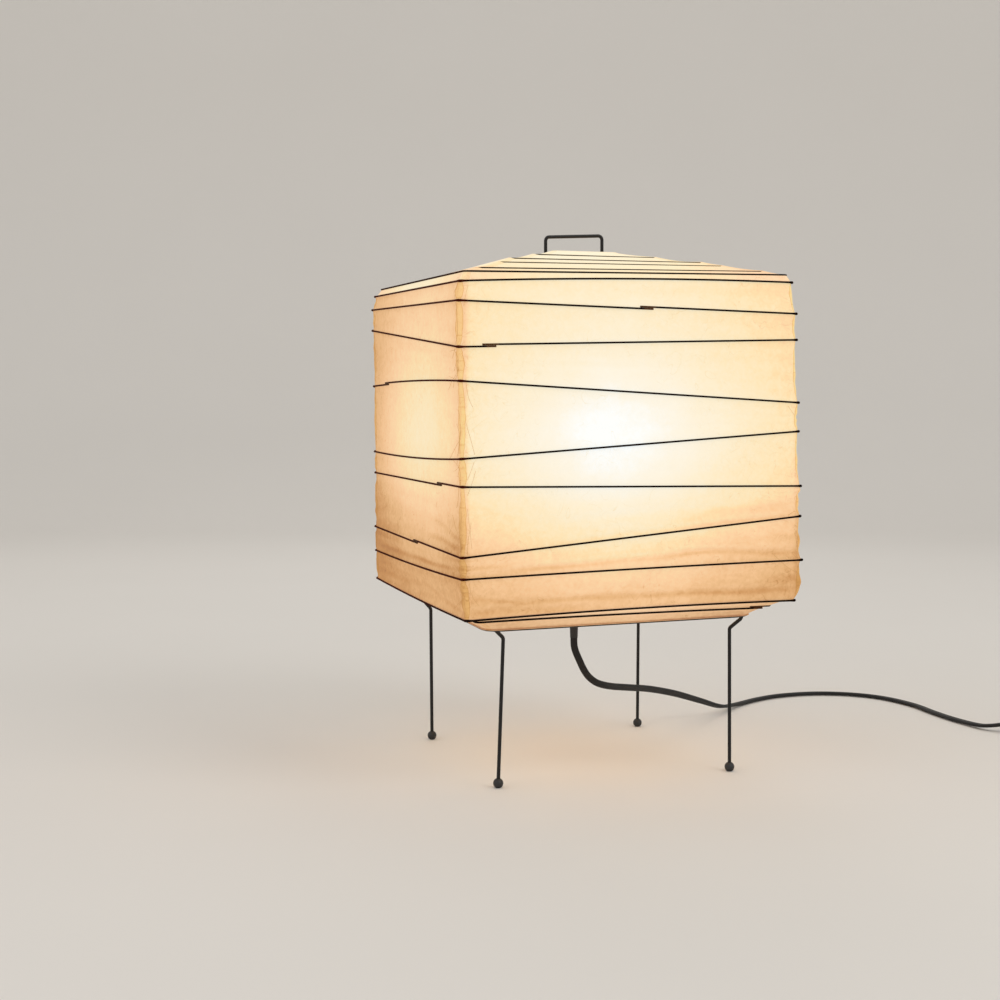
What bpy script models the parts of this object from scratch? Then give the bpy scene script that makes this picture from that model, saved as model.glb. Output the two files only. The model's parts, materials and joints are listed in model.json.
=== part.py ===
"""Paper lantern table lamp: a square paper shade on slanting hoops, held up by a black wire stand.

Metres, +Z up. The lamp stands on z = 0, centred on the Z axis, with its front towards -Y.
"""

import math

import bmesh
import bpy
import numpy as np
from mathutils import Vector

# Fits
GAP = 0.0003  # between pieces that touch
RUNNING_GAP = 0.0004  # round a piece that moves inside another

# Shade
SHADE_HALF = 0.1315  # middle to side
SHADE_BASE = 0.1155  # height of the bottom rim, if it hung level
HOOP_RADIUS = 0.0006
HOOP_CORNER = 0.004  # corner radius of the hoops
PAPER = 0.0004
DRAW_IN = 0.0018  # of the paper between two side hoops
PAPER_LEAN = math.radians(60)  # of the paper's slope where it turns under and over
ROOF_LEAN = math.radians(65)  # of the paper where it passes under a roof hoop
RIM_WIRE_RADIUS = 0.0012
TOP_RIM_WIRE_RADIUS = 0.0010
BOTTOM_RIM_INSET = 0.0280
BOTTOM_RIM_CORNER = 0.012
# The bottom rim hangs a little askew: how much its corners rise, in the hoops' order below
BOTTOM_RIM_RISES = (-0.0006, 0.0028, 0.0030, 0.0030)
TOP_RIM_CORNER = 0.004
TOP_RIM_RISE = 0.2775  # above the bottom rim
# Each hoop: inset from the shade's side, then its height above the bottom rim at the
# front left, front right, back right and back left corners.
SIDE_HOOPS = (
    (0.0025, 0.2455, 0.2505, 0.2515, 0.2505),
    (0.0000, 0.2325, 0.2265, 0.2355, 0.2400),
    (0.0000, 0.2005, 0.2075, 0.2145, 0.2230),
    (0.0000, 0.1760, 0.1615, 0.1675, 0.1765),
    (0.0000, 0.1225, 0.1410, 0.1345, 0.1210),
    (0.0000, 0.1025, 0.1000, 0.1005, 0.1040),
    (0.0000, 0.0535, 0.0780, 0.0725, 0.0590),
    (0.0000, 0.0390, 0.0460, 0.0425, 0.0380),
    (0.0045, 0.0100, 0.0160, 0.0172, 0.0153),
)
ROOF_HOOPS = (
    (0.0068, 0.2530, 0.2565, 0.2575, 0.2565),
    (0.0200, 0.2565, 0.2595, 0.2605, 0.2595),
    (0.0425, 0.2630, 0.2647, 0.2655, 0.2645),
    (0.0545, 0.2671, 0.2680, 0.2685, 0.2680),
    (0.0815, 0.2730, 0.2733, 0.2735, 0.2733),
)
UNDER_HOOP = (0.0170, 0.0073, 0.0101, 0.0105, 0.0095)

# Bulb
BULB_RADIUS = 0.030
BULB_HEIGHT = 0.086  # of the glass
BULB_NECK_RADIUS = 0.0126
BULB_NECK_HEIGHT = 0.010
BULB_WALL = 0.001
BULB_SHOULDER = math.radians(35)  # where the neck leaves the globe, below its middle
CAP_RADIUS = 0.0131
CAP_HEIGHT = 0.024
CAP_THREAD_DEPTH = 0.0007
CAP_THREADS = 5
CAP_INSULATOR_HEIGHT = 0.004
CAP_CONTACT_RADIUS = 0.0045
CAP_CONTACT_HEIGHT = 0.002

# Wire stand
WIRE_RADIUS = 0.0014
WIRE_BEND = 0.003  # bend radius of the wire's middle line
LEG_INSET = 0.0123  # of the legs from the bottom rim
KINK_ANGLE = math.radians(50)  # of the kink, from upright
# How far each hand-bent leg leans in X, from its foot up to its kink
LEG_LEANS = {"front_left": 0.0038, "front_right": 0, "back_left": -0.0010, "back_right": 0.0010}
ARM_RISE = 0.0045  # of the legs' arms above the bottom rim
FOOT_RADIUS = 0.0037
FOOT_FLAT = 0.0004  # depth of the flat under a ball foot
FOOT_BORE = 0.004  # depth of a ball foot's bore
HUB_RADIUS = 0.021
HUB_THICKNESS = 0.003
BULB_CLEARANCE = 0.008  # from the glass to the middle of the stretcher's wire
HANDLE_HALF = 0.0236
HANDLE_RISE = 0.0155  # of the handle's bar above the top rim
HANDLE_SLANT = 0.0024  # of the hand-bent bar, up to its right end

# Lampholder
NIPPLE_RADIUS = 0.005
NIPPLE_BORE = 0.0035
NIPPLE_TAIL = 0.006  # below the lower nut
NIPPLE_TIP = 0.001  # above the upper nut
NUT_RADIUS = 0.008  # to its corners
NUT_HEIGHT = 0.004
GLAND_RADIUS = 0.0075
GLAND_COLLAR = 0.006
GLAND_LENGTH = 0.0217
GLAND_SLEEVE = 0.0105  # length of its slim end
GLAND_SLEEVE_RADIUS = 0.0033
GLAND_TIP_RADIUS = 0.003
HOLDER_RADIUS = 0.0195
HOLDER_HEIGHT = 0.048
HOLDER_WALL = 0.0025
HOLDER_CHAMFER = 0.002
CUP_HEIGHT = 0.016
CUP_WALL = 0.004
CUP_FLOOR = 0.002
INSULATOR_HEIGHT = 0.011
SHELL_WALL = 0.0008
SHELL_HEIGHT = 0.033
SHELL_FLANGE = 0.0012
CONTACT_RADIUS = 0.004
CONTACT_HEIGHT = 0.0065
TERMINAL_RADIUS = 0.0022
TERMINAL_HEIGHT = 0.003
TERMINAL_OFFSET = 0.009

# Flex, from the strain relief to the inline switch
CORD_RADIUS = 0.002
CORD_STEP = 0.0105  # between the tube's points
CORD_ROUTE = (
    (0.0000, 0.0000, 0.0880),
    (0.0003, 0.0000, 0.0850),
    (0.0014, 0.0001, 0.0812),
    (0.0032, 0.0004, 0.0772),
    (0.0054, 0.0012, 0.0730),
    (0.0080, 0.0027, 0.0684),
    (0.0113, 0.0050, 0.0637),
    (0.0160, 0.0081, 0.0587),
    (0.0232, 0.0118, 0.0537),
    (0.0318, 0.0167, 0.0504),
    (0.0414, 0.0231, 0.0478),
    (0.0510, 0.0301, 0.0457),
    (0.0639, 0.0396, 0.0430),
    (0.0894, 0.0589, 0.0374),
    (0.1222, 0.0821, 0.0281),
    (0.1564, 0.1059, 0.0162),
    (0.1848, 0.1242, 0.0065),
    (0.2140, 0.1500, 0.0026),
    (0.2440, 0.1700, 0.0021),
    (0.2740, 0.1815, 0.0021),
    (0.3100, 0.1820, 0.0021),
    (0.3400, 0.1670, 0.0021),
    (0.3590, 0.1400, 0.0021),
    (0.3660, 0.1000, 0.0021),
    (0.3632, 0.0600, 0.0021),
    (0.3625, 0.0270, 0.0022),
    (0.3647, -0.0030, 0.0028),
    (0.3683, -0.0165, 0.0044),
    (0.3782, -0.0264, 0.0071),
)

# Inline switch
SWITCH_START = 0.398  # X of its end towards the lamp
SWITCH_Y = -0.030
SWITCH_LENGTH = 0.060
SWITCH_WIDTH = 0.026
SWITCH_BASE_HEIGHT = 0.0087
SWITCH_COVER_HEIGHT = 0.009
SWITCH_WALL = 0.002
SWITCH_BEVEL = 0.0015
ROCKER_HALF_LENGTH = 0.0095
ROCKER_HALF_WIDTH = 0.006
ROCKER_TOP = 0.0045  # of its ends above the pin
ROCKER_DIP = 0.0013  # of its middle below its ends
ROCKER_FOOT = 0.0035
ROCKER_TILT = math.radians(8)
ROCKER_PIN_DEPTH = 0.0035  # of the pin below the cover's top
ROCKER_PIN_RADIUS = 0.001
SCREW_OFFSET = 0.023  # from the switch's middle
SCREW_RADIUS = 0.0012
SCREW_HEAD_RADIUS = 0.0024
SCREW_HEAD_HEIGHT = 0.0012
SCREW_LENGTH = 0.004

# Coil of the rest of the flex, and its plug
COIL_X = 0.4955
COIL_RADIUS = 0.0388  # outermost loop
COIL_TURNS = 5.25
COIL_PITCH = 0.0064
COIL_LOW = 0.0037  # height of the lower layer
COIL_LAYER = 0.0049  # rise to the upper layer
COIL_CLIMB = 0.5  # turns over which the loops change layer
LOOP_POINTS = 24
LEAD_RUN = 0.006  # straight runs of the flex on both sides of the switch
PLUG_RUN = 0.029  # straight run from the coil to the plug
TIE_RADIUS = 0.0006
TIE_ANGLE = math.radians(105)
PLUG_LENGTH = 0.034
PLUG_HALF_WIDTH = 0.011
PLUG_HALF_HEIGHT = 0.008
PLUG_TAIL_SCALE = 0.55
PLUG_BEVEL = 0.0025
BLADE_LENGTH = 0.017
BLADE_WIDTH = 0.0063
BLADE_THICKNESS = 0.0015
BLADE_OFFSET = 0.00635

# Fineness of the curves
TURN_STEPS = 24
ARC_STEPS = 4

# Heights and places that follow from the sizes above
BOTTOM_RIM_HALF = SHADE_HALF - BOTTOM_RIM_INSET
LEG_OFFSET = BOTTOM_RIM_HALF - LEG_INSET
TOP_RIM_HALF = HANDLE_HALF + WIRE_RADIUS + GAP + TOP_RIM_WIRE_RADIUS
TOP_RIM_HEIGHT = SHADE_BASE + TOP_RIM_RISE
HUB_HEIGHT = SHADE_BASE + ARM_RISE
HUB_TOP = HUB_HEIGHT + HUB_THICKNESS / 2
HUB_UNDER = HUB_HEIGHT - HUB_THICKNESS / 2
STRETCHER_SPREAD = BULB_RADIUS + BULB_CLEARANCE
NIPPLE_HOLE = NIPPLE_RADIUS + GAP
LOWER_NUT = HUB_UNDER - GAP - NUT_HEIGHT
CUP_BASE = HUB_TOP + GAP
UPPER_NUT = CUP_BASE + CUP_FLOOR + GAP
NIPPLE_BASE = LOWER_NUT - NIPPLE_TAIL
NIPPLE_TOP = UPPER_NUT + NUT_HEIGHT + NIPPLE_TIP
GLAND_TOP = LOWER_NUT - GAP
GLAND_TIP = GLAND_TOP - GLAND_LENGTH
HOLDER_BASE = CUP_BASE + CUP_HEIGHT + GAP
HOLDER_BORE = HOLDER_RADIUS - HOLDER_WALL
SHELL_BASE = HOLDER_BASE + INSULATOR_HEIGHT + GAP
SHELL_RADIUS = CAP_RADIUS + RUNNING_GAP
BULB_BASE = SHELL_BASE + CONTACT_HEIGHT + GAP
CAP_INSULATOR_BASE = BULB_BASE + CAP_CONTACT_HEIGHT + GAP
CAP_BASE = CAP_INSULATOR_BASE + CAP_INSULATOR_HEIGHT + GAP
GLASS_BASE = CAP_BASE + CAP_HEIGHT + GAP
SWITCH_X = SWITCH_START + SWITCH_LENGTH / 2
SWITCH_SEAM = SWITCH_BASE_HEIGHT + GAP / 2
SWITCH_TOP = SWITCH_BASE_HEIGHT + GAP + SWITCH_COVER_HEIGHT
PIN_HEIGHT = SWITCH_TOP - ROCKER_PIN_DEPTH
COIL_Y = SWITCH_Y + COIL_RADIUS
COIL_HIGH = COIL_LOW + COIL_LAYER
COIL_INNER = COIL_RADIUS - COIL_PITCH * COIL_TURNS / 2

# Colour, roughness and metallic value of each finish
FINISHES = {
    "black_wire": ((0.012, 0.012, 0.013), 0.45, 0.0),
    "paper": ((0.86, 0.78, 0.62), 0.85, 0.0),
    "hoop": ((0.030, 0.022, 0.016), 0.60, 0.0),
    "steel": ((0.55, 0.55, 0.56), 0.35, 1.0),
    "brass": ((0.72, 0.53, 0.24), 0.30, 1.0),
    "ceramic": ((0.80, 0.78, 0.73), 0.40, 0.0),
    "black_plastic": ((0.018, 0.018, 0.019), 0.50, 0.0),
    "opal_glass": ((0.93, 0.91, 0.86), 0.25, 0.0),
    "flex": ((0.015, 0.015, 0.016), 0.50, 0.0),
}


def clear_scene():
    for obj in list(bpy.data.objects):
        bpy.data.objects.remove(obj)


def new_collection(name):
    collection = bpy.data.collections.new(name)
    bpy.context.scene.collection.children.link(collection)
    return collection


def material(name):
    if name in bpy.data.materials:
        return bpy.data.materials[name]
    colour, roughness, metallic = FINISHES[name]
    made = bpy.data.materials.new(name)
    made.use_nodes = True
    shader = made.node_tree.nodes["Principled BSDF"]
    shader.inputs["Base Color"].default_value = (*colour, 1)
    shader.inputs["Roughness"].default_value = roughness
    shader.inputs["Metallic"].default_value = metallic
    return made


def add(name, data, finish, location=(0, 0, 0)):
    obj = bpy.data.objects.new(name, data)
    obj.location = location
    data.materials.append(material(finish))
    PARTS.objects.link(obj)
    return obj


def holder_empty(name, location):
    """An empty on a joint's axis, which carries the pieces that move together."""
    empty = bpy.data.objects.new(name, None)
    empty.location = location
    PARTS.objects.link(empty)
    return empty


def carry(empty, *pieces):
    bpy.context.view_layer.update()
    for piece in pieces:
        piece.parent = empty
        piece.matrix_parent_inverse = empty.matrix_world.inverted()


def tube(name, points, radius, finish, cyclic=False, bevel_resolution=2):
    curve = bpy.data.curves.new(name, "CURVE")
    curve.dimensions = "3D"
    curve.bevel_depth = radius
    curve.bevel_resolution = bevel_resolution
    curve.use_fill_caps = True
    spline = curve.splines.new("POLY")
    spline.points.add(len(points) - 1)
    for point, place in zip(spline.points, points):
        point.co = (*place, 1)
    spline.use_cyclic_u = cyclic
    return add(name, curve, finish)


def outline(name, loops, half_depth, finish, location):
    """A flat outline, with any holes as further loops, made half_depth thick each way."""
    curve = bpy.data.curves.new(name, "CURVE")
    curve.dimensions = "2D"
    curve.fill_mode = "BOTH"
    curve.extrude = half_depth
    for loop in loops:
        spline = curve.splines.new("POLY")
        spline.points.add(len(loop) - 1)
        for point, (x, y) in zip(spline.points, loop):
            point.co = (x, y, 0, 1)
        spline.use_cyclic_u = True
    return add(name, curve, finish, location)


def circle(radius, steps, start=0.0):
    angles = [start + 2 * math.pi * i / steps for i in range(steps)]
    return [(radius * math.cos(a), radius * math.sin(a)) for a in angles]


def turned(name, profile, finish, location, closed=False):
    """Turns (radius, height) points about Z. The profile runs down its outer side."""
    count = len(profile)
    edges = [(i, i + 1) for i in range(count - 1)]
    if closed:
        edges.append((count - 1, 0))
    mesh = bpy.data.meshes.new(name)
    mesh.from_pydata([(radius, 0, height) for radius, height in profile], edges, [])
    obj = add(name, mesh, finish, location)
    screw = obj.modifiers.new("turn", "SCREW")
    screw.steps = TURN_STEPS
    screw.render_steps = TURN_STEPS
    screw.use_merge_vertices = True
    screw.merge_threshold = 0.00001
    screw.use_smooth_shade = True
    return obj


def mesh_box(name, size, base_at_zero=False):
    mesh = bpy.data.meshes.new(name)
    bm = bmesh.new()
    bmesh.ops.create_cube(bm, size=1)
    bmesh.ops.scale(bm, vec=size, verts=bm.verts)
    if base_at_zero:
        bmesh.ops.translate(bm, vec=(0, 0, size[2] / 2), verts=bm.verts)
    bm.to_mesh(mesh)
    bm.free()
    return mesh


def rounded(obj, width, segments=2):
    bevel = obj.modifiers.new("rounding", "BEVEL")
    bevel.width = width
    bevel.segments = segments
    obj.data.shade_smooth()
    return obj


def cut_box(obj, size, location):
    cutter = bpy.data.objects.new(obj.name + "_cut", mesh_box(obj.name + "_cut", size))
    cutter.location = location
    cut(obj, cutter)


def cut_round(obj, radius, length, location):
    mesh = bpy.data.meshes.new(obj.name + "_drill")
    bm = bmesh.new()
    bmesh.ops.create_cone(
        bm, cap_ends=True, segments=16, radius1=radius, radius2=radius, depth=length
    )
    bm.to_mesh(mesh)
    bm.free()
    cutter = bpy.data.objects.new(obj.name + "_drill", mesh)
    cutter.location = location
    cut(obj, cutter)


def cut(obj, cutter):
    cutter.hide_render = True
    cutter.display_type = "WIRE"
    CUTTERS.objects.link(cutter)
    boolean = obj.modifiers.new("cut", "BOOLEAN")
    boolean.operation = "DIFFERENCE"
    boolean.object = cutter


def bent(corners, bend):
    """A wire's middle line through these corners, each rounded to the bend radius."""
    corners = [Vector(c) for c in corners]
    points = [corners[0]]
    for before, corner, after in zip(corners, corners[1:], corners[2:]):
        back = (before - corner).normalized()
        on = (after - corner).normalized()
        half = back.angle(on) / 2
        middle = corner + (back + on).normalized() * bend / math.sin(half)
        first = corner + back * bend / math.tan(half) - middle
        last = corner + on * bend / math.tan(half) - middle
        turns = [first.slerp(last, i / ARC_STEPS) for i in range(ARC_STEPS + 1)]
        points += [middle + bend * turn for turn in turns]
    return points + [corners[-1]]


def ring(half, heights, corner):
    """Points round a rounded square, whose four corners may each have a height of its own."""
    front_left, front_right, back_right, back_left = heights
    points = []
    for turn, (side_x, side_y) in enumerate(((1, 1), (-1, 1), (-1, -1), (1, -1))):
        for i in range(ARC_STEPS):
            angle = (turn + i / (ARC_STEPS - 1)) * math.pi / 2
            x = side_x * (half - corner) + corner * math.cos(angle)
            y = side_y * (half - corner) + corner * math.sin(angle)
            across = (x + half) / (2 * half)
            along = (y + half) / (2 * half)
            front = front_left + (front_right - front_left) * across
            back = back_left + (back_right - back_left) * across
            points.append((x, y, front + (back - front) * along))
    return points


def raised(heights, rise):
    return [height + rise for height in heights]


def hoop_size(row):
    """Half width and corner heights of one row of the hoop tables."""
    return SHADE_HALF - row[0], raised(row[1:], SHADE_BASE)


def hoop(name, row):
    half, heights = hoop_size(row)
    points = ring(half, heights, HOOP_CORNER)
    return tube(name, points, HOOP_RADIUS, "hoop", cyclic=True, bevel_resolution=1)


def paper_ring(row, lean):
    """The paper's outer face beside a hoop. Lean is the way it faces, from level."""
    half, heights = hoop_size(row)
    reach = HOOP_RADIUS + GAP
    return ring(
        half - reach * math.cos(lean),
        raised(heights, -reach * math.sin(lean)),
        HOOP_CORNER,
    )


def paper(name, rings):
    """A sheet of paper lofted through rings, listed from the top down."""
    bm = bmesh.new()
    rows = [[bm.verts.new(point) for point in points] for points in rings]
    for upper, lower in zip(rows, rows[1:]):
        for i in range(len(upper)):
            j = (i + 1) % len(upper)
            bm.faces.new((upper[i], lower[i], lower[j], upper[j]))
    mesh = bpy.data.meshes.new(name)
    bm.to_mesh(mesh)
    bm.free()
    obj = add(name, mesh, "paper")
    solidify = obj.modifiers.new("sheet", "SOLIDIFY")
    solidify.thickness = PAPER
    solidify.offset = -1
    return obj


def paper_wall():
    seam = (HOOP_RADIUS + GAP) * math.sin(PAPER_LEAN) + 1.5 * PAPER + GAP
    rings = []
    for number, row in enumerate(SIDE_HOOPS):
        points = paper_ring(row, 0)
        if number == 0:
            points = [(x, y, z - seam) for x, y, z in points]
        if number == len(SIDE_HOOPS) - 1:
            points = [(x, y, z + seam) for x, y, z in points]
        if rings:
            half = SHADE_HALF - max(row[0], SIDE_HOOPS[number - 1][0])
            above = hoop_size(SIDE_HOOPS[number - 1])[1]
            below = hoop_size(row)[1]
            middle = [(a + b) / 2 for a, b in zip(above, below)]
            drawn = half - HOOP_RADIUS - GAP - DRAW_IN
            rings.append(ring(drawn, middle, HOOP_CORNER))
        rings.append(points)
    return paper("paper_wall", rings)


def paper_roof():
    reach = TOP_RIM_WIRE_RADIUS + GAP
    top = ring(
        TOP_RIM_HALF + reach * math.sin(PAPER_LEAN),
        [TOP_RIM_HEIGHT - reach * math.cos(PAPER_LEAN)] * 4,
        TOP_RIM_CORNER,
    )
    slopes = [paper_ring(row, ROOF_LEAN) for row in reversed(ROOF_HOOPS)]
    return paper("paper_roof", [top, *slopes, paper_ring(SIDE_HOOPS[0], PAPER_LEAN)])


def paper_bottom():
    reach = RIM_WIRE_RADIUS + GAP
    edge = ring(
        BOTTOM_RIM_HALF + reach * math.sin(PAPER_LEAN),
        raised(BOTTOM_RIM_RISES, SHADE_BASE + reach * math.cos(PAPER_LEAN)),
        BOTTOM_RIM_CORNER,
    )
    upper = paper_ring(SIDE_HOOPS[-1], -PAPER_LEAN)
    return paper("paper_bottom", [upper, paper_ring(UNDER_HOOP, -PAPER_LEAN), edge])


def shade():
    top_rim = ring(TOP_RIM_HALF, [TOP_RIM_HEIGHT] * 4, TOP_RIM_CORNER)
    tube("top_rim", top_rim, TOP_RIM_WIRE_RADIUS, "black_wire", cyclic=True)
    for number, row in enumerate(ROOF_HOOPS, 1):
        hoop(f"roof_hoop_{number}", row)
    paper_roof()
    side_hoops = [hoop(f"side_hoop_{n}", row) for n, row in enumerate(SIDE_HOOPS, 1)]
    paper_wall()
    rim_heights = raised(BOTTOM_RIM_RISES, SHADE_BASE)
    bottom_rim = ring(BOTTOM_RIM_HALF, rim_heights, BOTTOM_RIM_CORNER)
    rim = tube("bottom_rim", bottom_rim, RIM_WIRE_RADIUS, "black_wire", cyclic=True)
    lifted = holder_empty("shade_lift_axis", (0, 0, SHADE_BASE))
    carry(lifted, side_hoops[-1], hoop("under_hoop", UNDER_HOOP), rim, paper_bottom())


def foot(name, x, y):
    centre = FOOT_RADIUS - FOOT_FLAT
    bore = WIRE_RADIUS + GAP
    start = math.acos(bore / FOOT_RADIUS)
    end = -math.asin(centre / FOOT_RADIUS)
    top = centre + FOOT_RADIUS * math.sin(start)
    steps = 3 * ARC_STEPS
    angles = [start + (end - start) * i / steps for i in range(steps + 1)]
    ball = [(FOOT_RADIUS * math.cos(a), centre + FOOT_RADIUS * math.sin(a)) for a in angles]
    profile = [(0, top - FOOT_BORE), (bore, top - FOOT_BORE), *ball, (0, 0)]
    turned(name, profile, "black_plastic", (x, y, 0))
    return top - FOOT_BORE + GAP


def legs():
    inner_corner = BOTTOM_RIM_CORNER - RIM_WIRE_RADIUS
    rim_reach = (BOTTOM_RIM_HALF - BOTTOM_RIM_CORNER) * math.sqrt(2) + inner_corner
    kink_reach = rim_reach - GAP - WIRE_RADIUS
    half_turn = (math.pi / 2 - KINK_ANGLE) / 2
    tip = kink_reach + WIRE_BEND * (1 / math.tan(half_turn) - 1)
    leg = LEG_OFFSET * math.sqrt(2)
    kink_start = HUB_HEIGHT - (tip - leg) / math.tan(KINK_ANGLE)
    for end, side_y in (("front", -1), ("back", 1)):
        for side, side_x in (("left", -1), ("right", 1)):
            x, y = side_x * LEG_OFFSET, side_y * LEG_OFFSET
            wire_end = foot(f"foot_{end}_{side}", x, y)
            run = ((leg, wire_end), (leg, kink_start), (tip, HUB_HEIGHT))
            run += ((HUB_RADIUS + GAP, HUB_HEIGHT),)
            share = math.sqrt(0.5)
            corners = [Vector((side_x * d * share, side_y * d * share, z)) for d, z in run]
            corners[1].x += LEG_LEANS[f"{end}_{side}"]
            tube(f"leg_{end}_{side}", bent(corners, WIRE_BEND), WIRE_RADIUS, "black_wire")


def hub_and_stretcher():
    plate = [
        (NIPPLE_HOLE, HUB_THICKNESS / 2),
        (HUB_RADIUS, HUB_THICKNESS / 2),
        (HUB_RADIUS, -HUB_THICKNESS / 2),
        (NIPPLE_HOLE, -HUB_THICKNESS / 2),
    ]
    turned("hub_plate", plate, "black_wire", (0, 0, HUB_HEIGHT), closed=True)
    seat = WIRE_RADIUS + GAP + TOP_RIM_WIRE_RADIUS
    shoulder = TOP_RIM_HEIGHT - seat * (math.sqrt(2) - 1)
    handle = TOP_RIM_HEIGHT + HANDLE_RISE
    side = [
        (HUB_RADIUS + GAP, HUB_HEIGHT),
        (STRETCHER_SPREAD, HUB_HEIGHT),
        (STRETCHER_SPREAD, shoulder - (STRETCHER_SPREAD - HANDLE_HALF)),
        (HANDLE_HALF, shoulder),
    ]
    slant = HANDLE_SLANT / 2
    bar = [(-HANDLE_HALF, 0, handle - slant), (HANDLE_HALF, 0, handle + slant)]
    corners = [(-x, 0, z) for x, z in side] + bar + [(x, 0, z) for x, z in reversed(side)]
    tube("stretcher_and_handle", bent(corners, WIRE_BEND), WIRE_RADIUS, "black_wire")


def sleeve(inner, outer, height):
    """Profile of a plain tube that stands on its base."""
    return [(inner, height), (outer, height), (outer, 0), (inner, 0)]


def nut(name, base):
    loops = (circle(NUT_RADIUS, 6), circle(NIPPLE_HOLE, TURN_STEPS))
    outline(name, loops, NUT_HEIGHT / 2, "steel", (0, 0, base + NUT_HEIGHT / 2))


def lampholder():
    nipple = sleeve(NIPPLE_BORE, NIPPLE_RADIUS, NIPPLE_TOP - NIPPLE_BASE)
    turned("nipple", nipple, "steel", (0, 0, NIPPLE_BASE), closed=True)
    nut("lower_nut", LOWER_NUT)
    nut("upper_nut", UPPER_NUT)
    socket = NIPPLE_TAIL
    gland = [
        (0, GLAND_LENGTH - socket),
        (NIPPLE_HOLE, GLAND_LENGTH - socket),
        (NIPPLE_HOLE, GLAND_LENGTH),
        (GLAND_RADIUS, GLAND_LENGTH),
        (GLAND_RADIUS, GLAND_LENGTH - GLAND_COLLAR),
        (GLAND_SLEEVE_RADIUS, GLAND_SLEEVE),
        (GLAND_TIP_RADIUS, 0),
        (0, 0),
    ]
    turned("strain_relief", gland, "black_plastic", (0, 0, GLAND_TIP))
    cup = [
        (HOLDER_RADIUS - CUP_WALL, CUP_HEIGHT),
        (HOLDER_RADIUS, CUP_HEIGHT),
        (HOLDER_RADIUS, HOLDER_CHAMFER),
        (HOLDER_RADIUS - HOLDER_CHAMFER, 0),
        (NIPPLE_HOLE, 0),
        (NIPPLE_HOLE, CUP_FLOOR),
        (HOLDER_RADIUS - CUP_WALL, CUP_FLOOR),
    ]
    turned("holder_cup", cup, "black_plastic", (0, 0, CUP_BASE), closed=True)
    body = [
        (HOLDER_BORE, HOLDER_HEIGHT),
        (HOLDER_RADIUS - HOLDER_CHAMFER, HOLDER_HEIGHT),
        (HOLDER_RADIUS, HOLDER_HEIGHT - HOLDER_CHAMFER),
        (HOLDER_RADIUS, 0),
        (HOLDER_BORE, 0),
    ]
    turned("holder_body", body, "black_plastic", (0, 0, HOLDER_BASE), closed=True)
    insulator = [(0, INSULATOR_HEIGHT)]
    insulator += [(HOLDER_BORE - GAP, INSULATOR_HEIGHT), (HOLDER_BORE - GAP, 0), (0, 0)]
    turned("holder_insulator", insulator, "ceramic", (0, 0, HOLDER_BASE))
    shell = [
        (SHELL_RADIUS, SHELL_HEIGHT),
        (SHELL_RADIUS + SHELL_WALL, SHELL_HEIGHT),
        (SHELL_RADIUS + SHELL_WALL, SHELL_FLANGE),
        (HOLDER_BORE - GAP, SHELL_FLANGE),
        (HOLDER_BORE - GAP, 0),
        (SHELL_RADIUS, 0),
    ]
    turned("screw_shell", shell, "brass", (0, 0, SHELL_BASE), closed=True)
    contact = [(0, CONTACT_HEIGHT), (CONTACT_RADIUS / 2, CONTACT_HEIGHT)]
    contact += [(CONTACT_RADIUS, CONTACT_HEIGHT / 2), (CONTACT_RADIUS, 0), (0, 0)]
    turned("centre_contact", contact, "brass", (0, 0, SHELL_BASE))
    screw = [(0, TERMINAL_HEIGHT), (TERMINAL_RADIUS, TERMINAL_HEIGHT)]
    screw += [(TERMINAL_RADIUS, 0), (0, 0)]
    level = HOLDER_BASE - GAP - TERMINAL_HEIGHT
    for side, side_x in (("left", -1), ("right", 1)):
        turned(f"terminal_screw_{side}", screw, "brass", (side_x * TERMINAL_OFFSET, 0, level))


def glass_outline(radius, neck):
    """Outer side of the glass, from its crown down to its neck, above its base."""
    middle = BULB_HEIGHT - BULB_RADIUS
    steps = 4 * ARC_STEPS
    angles = [math.pi / 2 - (math.pi / 2 + BULB_SHOULDER) * i / steps for i in range(steps + 1)]
    points = [(radius * math.cos(a), middle + radius * math.sin(a)) for a in angles]
    points[0] = (0, middle + radius)
    shoulder_radius, shoulder_height = points[-1]
    for i in range(1, ARC_STEPS + 1):
        left = 1 - i / ARC_STEPS
        height = BULB_NECK_HEIGHT + (shoulder_height - BULB_NECK_HEIGHT) * left
        points.append((neck + (shoulder_radius - neck) * left**2, height))
    return points + [(neck, 0)]


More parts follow.
